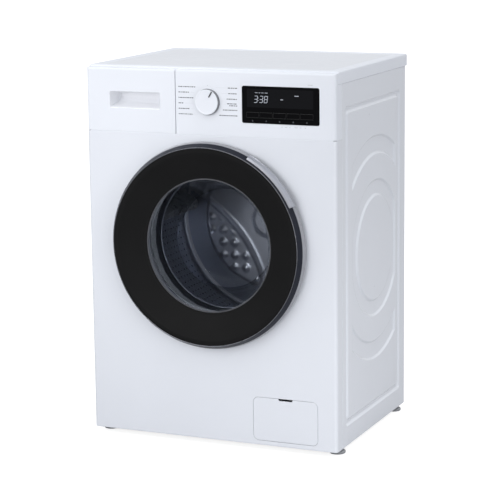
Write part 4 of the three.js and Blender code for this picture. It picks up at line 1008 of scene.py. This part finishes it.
def drawer():
    x0, x1, z0, z1, deep = -240.0, -116.0, 757.6, 792.5, 51.0
    profile = filleted([(0, z1 + 0.9), (1.2, z1 - 0.2, 0.8), (deep, z1 - 0.6, 4), (deep, z1 - 19, 12),
                        (deep - 16, z0 + 7.5, 14), (12, z0 + 1.8, 14), (1.8, z0, 2.5), (0, z0 - 1.6)],
                        False, 6)
    shape = Shape()
    # the scoop's inner faces take the brighter white finish, painted light against the shade inside the recess
    mouth = pocket(shape, x0, x1, profile, 3.0, 1)
    wall = 3.0
    outer = [(max(d, wall) + (1.6 if d > wall else 0), z + (1.6 if z > (z0 + z1) / 2 else -1.6)) for d,
             z in profile]
    back = pocket(shape, x0 - 1.6, x1 + 1.6, outer, 3.0)
    front_shell(shape, (DRAWER.x0, DRAWER.x1), (DRAWER.z0, DRAWER.z1), (CORNER_R, 0.5, 0.35, 5.0), 14.4, wall,
                [[[(u, 0, v) for u, v in mouth], [(u, wall, v) for u, v in back]]])
    piece("drawer_face", shape, ["white_plastic", "recess_white_painted_light"], "drawer",
          ["drawer_front"])


# ---------------------------------------------------------------- door

def door():
    back = RING.y1  # rear edge of the ring
    ring = filleted([(207.2, -32.6), (220.5, -32.6), (220.5, -34.9, 0.3), (221.6, -35.2, 0.4), (222.2, -34.6),
                     (223, -33.4, 0.8), (229, -22, 6), (231.8, -13), (231.9, -10.5, 1.5), (229.4, back, 1.5),
                     (226.5, back), (226.5, back - 2), (229, -12, 3), (226.4, -21, 4), (221.8, -30.2, 2),
                     (210, -30.2), (210, back - 2), (210, back), (207.2, back)])
    bands = []
    for p, q in zip(ring, ring[1:] + ring[:1]):
        radius, depth = (p[0] + q[0]) / 2, (p[1] + q[1]) / 2
        if depth < -34.4 and radius < 222.3:
            bands.append(1)
        else:
            bands.append(2 if depth > -19 and radius > 228 else 0)
    shape = Shape()
    shape.revolve(ring, 200, span=(HANDLE_ARC[1], 360 + HANDLE_ARC[0]), finish=bands)
    inner = filleted([(207.2, -32.6), (220.5, -32.6), (220.5, -34.9, 0.3), (221.6, -35.3, 0.4),
                      (222.2, -34.6),
                      (226.2, -34.0), (226.2, -31), (211, -30.2), (211, back), (207.2, back)])
    bands = [1 if (p[1] + q[1]) / 2 < -34.4 and p[0] < 222.3 else 0 for p,
             q in zip(inner, inner[1:] + inner[:1])]
    shape.revolve(inner, 40, span=HANDLE_ARC, finish=bands)
    rim = piece("door_rim", shape, ["dark_plastic", "bright_trim", "rim_side"], "door",
                ["door_ring"])
    carve(rim, ((-226.8, -190), (-27, 5), (SURROUND.z - 33, SURROUND.z + 33)),
          ((-240, -190), (-16, 5), (SURROUND.z - 33, SURROUND.z + 33)))

    handle = Shape()
    section = filleted([(226.5, -34.4, 0.6), (231.6, -32.4, 3), (235.2, -24, 4), (234, -15, 1.2),
                        (230, -14, 1.2),
                        (230.2, -25, 3), (226.5, -30.6, 1)], steps=5)
    handle.revolve(section, 48, span=(HANDLE_ARC[0] + 0.1, HANDLE_ARC[1] - 0.1))
    piece("door_grip", handle, ["silver_plastic"], "door", ["door_handle"])

    r, face, back = SURROUND_R, SURROUND.y0, SURROUND.y0 + 3
    outline = filleted([(r, back), (r, face + 1.2, 0.8), (r - 1.4, face, 1.4), (210, face, 10),
                        (156, face + 23, 2),
                        (WINDOW_R + 0.9, face + 24, 0.5), (WINDOW_R, face + 24.5, 0.4),
                        (WINDOW_R, face + 26.7),
                        (154, face + 26.7), (156, face + 25.8), (206.9, back)], steps=5)
    surround = Shape()
    surround.revolve(outline, 200)
    piece("door_dish", surround, ["gloss_black"], "door", ["door_surround"])

    bowl = Shape()
    outline = filleted([(0, 110), (96, 107, 40), (114, 100, 12), (121, 86, 12), (145, -1, 6),
                        (153, -4.2, 1), (153, -9, 1),
                        (147.6, -9.05), (143, -9, 5), (117, 83, 14), (109, 95, 10), (95, 102.5, 40),
                        (0, 105.5)],
                       False, 8)
    ground = [1 if min(p[0], q[0]) > 147.4 and max(p[1], q[1]) < -8 else 0 for p,
              q in zip(outline, outline[1:])]
    bowl.revolve(outline, 160, closed=False, finish=ground)
    piece("door_bowl_glass", bowl, ["bowl_glass", "window_edge"], "door", ["door_bowl"])

    inner = box_of("door_inner_frame")
    frame_shape = Shape()
    section = filleted([(153.8, -9), (153.8, -1.5, 2), (199, -1.5, 6), (206.5, -8, 4), (206.5, -32.5),
                        (203.5, -31.2), (203.5, -9.5, 3), (198, -4.5, 4), (156.8, -4.5, 1), (156.8, -10.2)])
    frame_shape.revolve(section, 160)
    inner_frame = piece("door_inner_ring", frame_shape, ["grey_plastic"], "door",
                        ["door_inner_frame"])
    hinge_x, hinge_y, hook = -220.0, -20.0, box_of("door_hook")
    carve(inner_frame, ((hinge_x - 1, hinge_x + 44), (-45, 5), (inner.z - 24.6, inner.z + 24.6)),
          ((hook.x0 - 4, hook.x1 + 6), (-40, 5), (hook.z - 8.5, hook.z + 8.5)))
    fittings = Shape()
    for side in (-1, 1):
        z = sorted((inner.z + side * 24.4, inner.z + side * 30))
        rows = [[(u, v, z[k]) for u, v in circle((hinge_x, hinge_y), r0, 32)] for r0, k in
                ((3.4, 0), (5.5, 0), (5.5, 1), (3.4, 1), (3.4, 0))]
        fittings.loft(rows)
        fittings.block((hinge_x + 4.4, hinge_x + 22), (hinge_y - 5.4, hinge_y + 5.4), z, 0.5)
    for z in ((hook.z - 11, hook.z - 8.5), (hook.z + 8.5, hook.z + 11)):
        fittings.block((hook.x0 - 7, hook.x1 + 0.4), (-22, -5), z, 0.5)
    fittings.block((hook.x0 - 7, hook.x0 - 4), (-22, -5), (hook.z - 11, hook.z + 11), 0.5)
    pin = circle((196, -18), 2, 20)
    fittings.loft([[(u, v, hook.z - 10) for u, v in pin], [(u, v, hook.z + 10) for u, v in pin]], caps=True)
    piece("door_hinge_lugs", fittings, ["grey_plastic"], "door")


def gasket():
    """The bellows: a lip round the opening, a deep fold and a sleeve on the tub's collar."""
    section = filleted([(150, 4.2, 0.8), (156, 2.4, 3), (163, 1.7, 2), (177.4, 1.7, 0.8), (177.4, 11.5, 2),
                        (185.8, 21.5, 4), (174, 33, 3), (174, 58), (169.6, 58), (169.6, 31.5, 3),
                        (180.6, 22, 3.5), (172, 14.5, 2.5), (166, 9.6, 4), (159, 10.2, 2.5), (152, 7.4, 2)],
                        steps=6)
    shape = Shape()
    shape.revolve(section, 180)
    lugs = [(96, 1.4), (264, 1.4)]
    for degrees, _ in lugs:
        a = math.radians(degrees)
        x, z = AXIS[0] + 153 * math.cos(a), AXIS[1] + 153 * math.sin(a)
        shape.block((x - 5, x + 5), (5.4, 8.2), (z - 2.2, z + 2.2), 1.0)
    made = piece("door_bellows", shape, ["grey_rubber"], None, ["door_gasket"])
    start, end = (0, (GASKET.y0 + 12 + FRONT) * MM, 0), (0, (GASKET.y1 - 4 + FRONT) * MM, 0)
    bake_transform(made)
    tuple(start)
    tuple(end)


# ---------------------------------------------------------------- drum

def emboss(x, z):
    """Height of the drum back's pressing towards the door: a raised disc with three dimpled segments round a
    plain rounded triangle, which stands a little higher."""
    spread, bow = 8.0, 0.0016
    total = 0.0
    for a in (math.radians(degrees) for degrees in (96, 216, 336)):
        out, along = x * math.cos(a) + z * math.sin(a), z * math.cos(a) - x * math.sin(a)
        total += math.exp((out - bow * along * along) / spread)
    away = spread * math.log(total) - 84.0  # distance outside the triangle, whose sides bow in
    radius = math.hypot(x, z)
    disc = 9.0 * (1 - smooth_step((radius - 158) / 12))
    raised = 3.5 * (1 - smooth_step(away / 6 + 0.5))
    rings = sum(1.8 * math.exp(-((radius - r) / 3) ** 2) for r in (180, 200))
    bead = 1.6 * math.exp(-((away + 13) / 3) ** 2) + rings
    lozenge = math.cos(math.pi * (x + z) / 30.0) * math.cos(math.pi * (x - z) / 30.0)
    fade = smooth_step((156 - radius) / 8) * smooth_step((away - 7) / 6)
    hub = 3.0 * (1 - smooth_step((radius - 34) / 8))
    return disc + raised + bead + 5.0 * max(lozenge, 0.0) ** 1.2 * fade + hub


def drum():
    r, front, rear = DRUM.x1 - DRUM.x, DRUM.y0, DRUM.y1
    shape = Shape()
    inner, around, along = r - SHEET, 336, 60
    y0, y1 = front + 24, rear - 15
    rows = []
    for j in range(along + 1):
        y = y0 + (y1 - y0) * j / along
        fade = smooth_step(j / 4) * smooth_step((along - j) / 4)
        ring = []
        for i in range(around):
            a = 2 * math.pi * i / around
            u, v = i * 56 / around, (y - y0) / 24.0
            lozenge = math.cos(math.pi * (u + v)) * math.cos(math.pi * (u - v))
            radius = inner - 2.0 * max(lozenge, 0.0) ** 1.5 * fade
            ring.append((AXIS[0] + radius * math.cos(a), y, AXIS[1] + radius * math.sin(a)))
        rows.append(ring)
    shape.loft(rows)
    back = []
    rings = 58
    for k in range(rings + 1):
        radius = 220.0 * (1 - k / rings)
        ring = []
        for i in range(around):
            a = 2 * math.pi * i / around
            x, z = radius * math.cos(a), radius * math.sin(a)
            depth = rear - 3.2 - 4.0 * smooth_step((radius - 205) / 15) - emboss(x, z)
            ring.append((AXIS[0] + x, depth, AXIS[1] + z))
        back.append(ring)
    turn = [(inner, y1), (inner - 0.8, y1 + 3.4), (inner - 3, y1 + 6.4)]
    corner = [[(u, d, v) for u, v in arc(AXIS, q, 0, 360, around)[:-1]] for q, d in turn]
    shape.loft(corner + back, finish=[0] * len(corner) + [1] * (len(back) - 1))
    nose = filleted([(inner, y0), (inner - 1, front + 17, 3), (inner - 7, front + 14, 4),
                     (164.3, front + 6.4, 3),
                     (159, front + 4.4, 1), (157.8, front + 8), (156.6, front + 8), (156.6, front + 2.6, 1),
                     (158, front + 1.6, 1), (164, front + 4.4, 6), (r - 6, front + 13, 5), (r, front + 22, 5),
                     (r, rear - 13, 5), (r - 6, rear - 6, 5), (60, rear - 1.2), (0, rear - 1)], False)
    shape.revolve(nose, around, closed=False)
    piece("drum_shell", shape, ["drum_steel", "drum_back"], "drum", ["drum"], sharp=50)


def lifters():
    for number in range(1, 4):
        b = box_of(f"lifter_{number}")
        away = Vector((b.x - AXIS[0], b.z - AXIS[1])).normalized()
        along = Vector((-away.y, away.x))
        base = (DRUM.x1 - DRUM.x) - SHEET - 4
        section = filleted([(-30, 0, 0.5), (-24, 4, 6), (-13, 42, 8), (-8, 51, 6), (8, 51, 6), (13, 42, 8),
                            (24, 4, 6),
                            (30, 0, 0.5)], steps=5)
        stations = [(0, 0.34), (2, 0.42), (8, 0.60), (16, 0.84), (24, 0.96), (34, 1.0)]
        length = b.y1 - b.y0
        marks = stations + [(length / 2, 0.97)] + [(length - d, s) for d, s in reversed(stations)]
        rows = []
        for d, scale in marks:
            row = []
            for w, h in section:
                spot = Vector(AXIS) + away * (base - h * scale) + along * w * (0.85 + 0.15 * scale)
                row.append((spot.x, b.y0 + d, spot.y))
            rows.append(row)
        shape = Shape()
        shape.loft(rows, caps=True)
        for k in range(7):  # raised beads along the crest
            y = b.y0 + 46 + k * (length - 92) / 6
            for w in (-4.5, 4.5):
                spot = Vector(AXIS) + away * (base - 50.2) + along * w
                shape.block((spot.x - 2.2, spot.x + 2.2), (y - 2.2, y + 2.2), (spot.y - 2.2, spot.y + 2.2),
                            1.0)
        piece(f"drum_lifter_{number}", shape, ["lifter_plastic"], "drum",
              [f"lifter_{number}"])


FINISHES["lifter_plastic"] = finish("lifter_plastic", (0.20, 0.21, 0.23), 0.3, spread=0.04, grain=1400,
                                    bump=0.06)


# ---------------------------------------------------------------- service flap, suspension and the rest

def service_flap():
    b = box_of("service_flap")
    shape = Shape()
    plate_z0, thick = 25.0, 2.5
    edge = [(0.7, 0.0), (0.2, 0.2), (0.0, 0.7), (0.0, thick)]
    notch = (160.0, 194.0, b.z1 - 4.2)
    def outline(inset):
        top, x0, x1, radius = b.z1 - inset, b.x0 + inset, b.x1 - inset, 12 - inset
        points = rounded_rect(x0, x1, plate_z0 + inset, top, radius, 8)
        cut_at = next(i for i, (u, v) in enumerate(points) if v >= top - 1e-6)
        n0, n1, floor = notch[0] - inset, notch[1] + inset, notch[2] - inset
        dip = [(n1 + 0.6, top), (n1, top - 0.8), (n1 - 1.2, floor), (n0 + 1.2, floor), (n0, top - 0.8),
               (n0 - 0.6, top)]
        return points[:cut_at + 1] + dip + points[cut_at + 1:]
    rows = [[(u, d, v) for u, v in outline(i)] for i, d in edge]
    shape.loft(rows)
    for row in (rows[0], rows[-1]):
        depth = row[0][1]
        shape.fill([([(u, v) for u, _, v in row], 0)], lambda u, v, h, d=depth: (u, d, v))
    barrel = circle((3.0, 37.0), 2.0, 16)
    shape.loft([[(x, d, z) for d, z in barrel] for x in (125, 230)], caps=True)
    piece("flap_plate", shape, ["white_enamel"], "flap", ["service_flap"])


def springs():
    for side in ("left", "right"):
        b = box_of(f"spring_{side}")
        x, y, low, high = b.x, b.y, b.z0, b.z1
        path, turns, per = [], 13, 20
        for i in range(6):
            path.append((x, y, low + i * 2.0))
        for i in range(turns * per + 1):
            a = 2 * math.pi * i / per
            grow = min(1.0, i / 8, (turns * per - i) / 8)
            path.append((x + 12.8 * grow * math.cos(a), y + 12.8 * grow * math.sin(a),
                         low + 15 + (high - low - 30) * i / (turns * per)))
        for i in range(5, -1, -1):
            path.append((x, y, high - i * 2.0))
        shape = Shape()
        shape.tube(path, 1.4, 10)
        made = piece(f"hanger_spring_{side}", shape, ["stainless_steel"], None,
                     [f"spring_{side}"], weighted=False)
        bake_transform(made)


def spline(points, steps):
    """A smooth line through points (Catmull-Rom)."""
    vectors = [Vector(p) for p in points]
    ends = [vectors[0] * 2 - vectors[1], *vectors, vectors[-1] * 2 - vectors[-2]]
    out = []
    for i in range(len(vectors) - 1):
        a, b, c, d = ends[i:i + 4]
        for k in range(steps):
            t = k / steps
            out.append(0.5 * (2 * b + (c - a) * t + (2 * a - 5 * b + 4 * c - d) * t * t
                              + (3 * b - a - 3 * c + d) * t ** 3))
    return out + [vectors[-1]]


def sump_hose():
    """A convoluted hose from the tub's spout to the pump, in its CAD route."""
    b = box_of("sump_hose")
    route = [(40, 300, b.z1), (40, 300, 140), (46, 285, 112), (58, 240, 88), (74, 160, 77), (84, 90, 77),
             (95, 56, 80), (106, 50, 80), (117.6, 50, 80)]
    path = spline(route, 12)
    radii = [13.6 - (1.6 if i % 4 in (1, 2) and 8 < i < len(path) - 8 else 0.0) for i in range(len(path))]
    shape = Shape()
    shape.tube(path, radii, 24)
    made = piece("sump_bellows", shape, ["black_rubber"], None, ["sump_hose"], weighted=False)
    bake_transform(made)


def refined(node, width=0.5, material=None):
    """Stands for a CAD node whose edges show: the same solid with its flat faces joined and edges rounded."""
    source = frame["nodes"][node]
    bm = bmesh.new()
    bm.from_mesh(source.data)
    bmesh.ops.remove_doubles(bm, verts=bm.verts, dist=1e-5)
    bmesh.ops.dissolve_limit(bm, angle_limit=math.radians(1.0), verts=bm.verts, edges=bm.edges)
    bmesh.ops.recalc_face_normals(bm, faces=bm.faces)
    sharp = [e for e in bm.edges if len(e.link_faces) == 2 and e.calc_face_angle(0) > math.radians(40)]
    bmesh.ops.bevel(bm, geom=sharp, offset=width * MM, segments=2, profile=0.6, affect="EDGES",
                    clamp_overlap=True)
    for face in bm.faces:
        face.smooth = True
        face.material_index = 0
    mesh = bpy.data.meshes.new(node + "_finished")
    bm.to_mesh(mesh)
    bm.free()
    mesh.set_sharp_from_angle(angle=math.radians(32))
    made = bpy.data.objects.new(node + "_finished", mesh)
    bpy.context.scene.collection.objects.link(made)
    mesh.materials.append(FINISHES[material or SLOTS[node]])
    modifier = made.modifiers.new("flat_faces", "WEIGHTED_NORMAL")
    modifier.keep_sharp = True
    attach(made, BODY_OF[node])
    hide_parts(node)


SLOTS = {part["node"]: part["material_slot"] for part in frame["record"]["subparts"]}
BODY_OF = {node: body for body, nodes in frame["record"]["behaviour"]["bodies"].items() for node in nodes}

REFINED = ["drawer_tray", "dispenser_housing", "door_hook", "hinge_bracket", "door_lock", "base_pan",
           "tub_front",
           "inlet_valve", "mains_inlet", "drain_hose", "drain_pump", "drain_filter"]


def other_nodes():
    """CAD nodes whose shape is right keep it, with a finish from their slot."""
    for node in REFINED:
        refined(node)
    for node, made in frame["nodes"].items():
        if made.hide_render:
            continue
        made.data.materials.clear()
        made.data.materials.append(FINISHES[SLOTS[node]])


# ---------------------------------------------------------------- camera, light and floor

def camera():
    data = bpy.data.cameras.new("camera")
    made = bpy.data.objects.new("camera", data)
    bpy.context.scene.collection.objects.link(made)
    data.sensor_width = 36.0
    data.lens = 138.74
    data.shift_x, data.shift_y = 0.016, -0.0164
    data.clip_end = 50.0
    yaw, pitch, roll = (math.radians(a) for a in (23.739, 10.689, -0.696))
    ahead = Vector((-math.sin(yaw) * math.cos(pitch), math.cos(yaw) * math.cos(pitch), -math.sin(pitch)))
    level = Vector((math.cos(yaw), math.sin(yaw), 0))
    above = level.cross(ahead)
    right = level * math.cos(roll) + above * math.sin(roll)
    up = above * math.cos(roll) - level * math.sin(roll)
    made.matrix_world = Matrix.Translation((1.7484, -4.0137, 1.2552)) @ Matrix(
        (right, up, -ahead)).transposed().to_4x4()
    bpy.context.scene.camera = made


def area_light(name, place, target, size, power, color=(1, 1, 1)):
    data = bpy.data.lights.new(name, "AREA")
    data.shape = "RECTANGLE"
    data.size, data.size_y = size
    data.energy = power
    data.color = color
    made = bpy.data.objects.new(name, data)
    made.location = place
    made.rotation_mode = "QUATERNION"
    made.rotation_quaternion = (Vector(target) - Vector(place)).to_track_quat("-Z", "Y")
    bpy.context.scene.collection.objects.link(made)


def soft_spot(name, place, target, angle, power):
    """A round light whose beam fades to nothing at its edge."""
    data = bpy.data.lights.new(name, "SPOT")
    data.spot_size = math.radians(angle)
    data.spot_blend = 1.0
    data.shadow_soft_size = 0.3
    data.energy = power
    made = bpy.data.objects.new(name, data)
    made.location = place
    made.rotation_mode = "QUATERNION"
    made.rotation_quaternion = (Vector(target) - Vector(place)).to_track_quat("-Z", "Y")
    bpy.context.scene.collection.objects.link(made)


def studio():
    world = bpy.data.worlds.new("studio")
    bpy.context.scene.world = world
    world.use_nodes = True
    tree = world.node_tree
    room = tree.nodes["Background"]
    split = tree.nodes.new("ShaderNodeSeparateXYZ")
    tree.links.new(tree.nodes.new("ShaderNodeTexCoord").outputs["Generated"], split.inputs[0])
    tree.links.new(ranged(tree, split.outputs["Z"], 0.545, 1.22, 0.0, 1.0), room.inputs["Strength"])
    room.inputs["Color"].default_value = (0.96, 0.975, 1.0, 1)
    sweep = tree.nodes.new("ShaderNodeBackground")
    sweep.inputs["Color"].default_value = (1, 1, 1, 1)
    mix = tree.nodes.new("ShaderNodeMixShader")
    tree.links.new(tree.nodes.new("ShaderNodeLightPath").outputs["Is Camera Ray"], mix.inputs["Fac"])
    tree.links.new(room.outputs[0], mix.inputs[1])
    tree.links.new(sweep.outputs[0], mix.inputs[2])
    tree.links.new(mix.outputs[0], tree.nodes["World Output"].inputs["Surface"])
    area_light("key", (-0.85, -2.2, 1.4), (-0.2, 0, 0.65), (1.2, 1.0), 12.5)
    area_light("corner_strip", (2.3, -1.6, 0.75), (0.3, -0.2, 0.4), (0.5, 1.4), 8)
    soft_spot("low_corner", (2.1, -2.2, 0.45), (0.3, -0.25, 0.06), 24, 70)
    soft_spot("high_corner", (-0.5, -3.3, 1.25), (-0.26, -0.25, 0.68), 21, 72)
    bpy.context.scene.view_settings.view_transform = "Standard"


def floor():
    """A pale floor, faintly mottled, that shows near white but throws less light back up."""
    mesh = bpy.data.meshes.new("floor")
    bm = bmesh.new()
    bmesh.ops.create_grid(bm, x_segments=8, y_segments=8, size=40)
    bm.to_mesh(mesh)
    bm.free()
    made = bpy.data.objects.new("floor", mesh)
    made.location = (0, 0, cad_box[0].z)
    bpy.context.scene.collection.objects.link(made)
    material = finish("floor_paint", (0.42, 0.42, 0.42), 0.9, spread=0.004, bump=0.01, Specular_IOR_Level=0.1)
    tree, shader = node_group(material)
    dull = tree.nodes.new("ShaderNodeBsdfDiffuse")
    dull.inputs["Color"].default_value = (0.5, 0.5, 0.51, 1)
    shader.inputs["Emission Color"].default_value = (1, 1, 1, 1)
    shader.inputs["Emission Strength"].default_value = 0.86
    mix = tree.nodes.new("ShaderNodeMixShader")
    tree.links.new(tree.nodes.new("ShaderNodeLightPath").outputs["Is Camera Ray"], mix.inputs["Fac"])
    tree.links.new(dull.outputs[0], mix.inputs[1])
    tree.links.new(shader.outputs[0], mix.inputs[2])
    tree.links.new(mix.outputs[0], tree.nodes["Material Output"].inputs["Surface"])
    mesh.materials.append(material)


camera()
studio()
floor()
front_sheet()
side_sheet(-1, "left_side_sheet", "left_side_panel")
side_sheet(1, "right_side_sheet", "right_side_panel")
worktop()
rear_side()
feet()
fascia()
display()
display_marks()
keys()
dial()
program_marks()
drawer()
door()
gasket()
drum()
lifters()
service_flap()
springs()
sump_hose()
other_nodes()

bpy.context.view_layer.update()
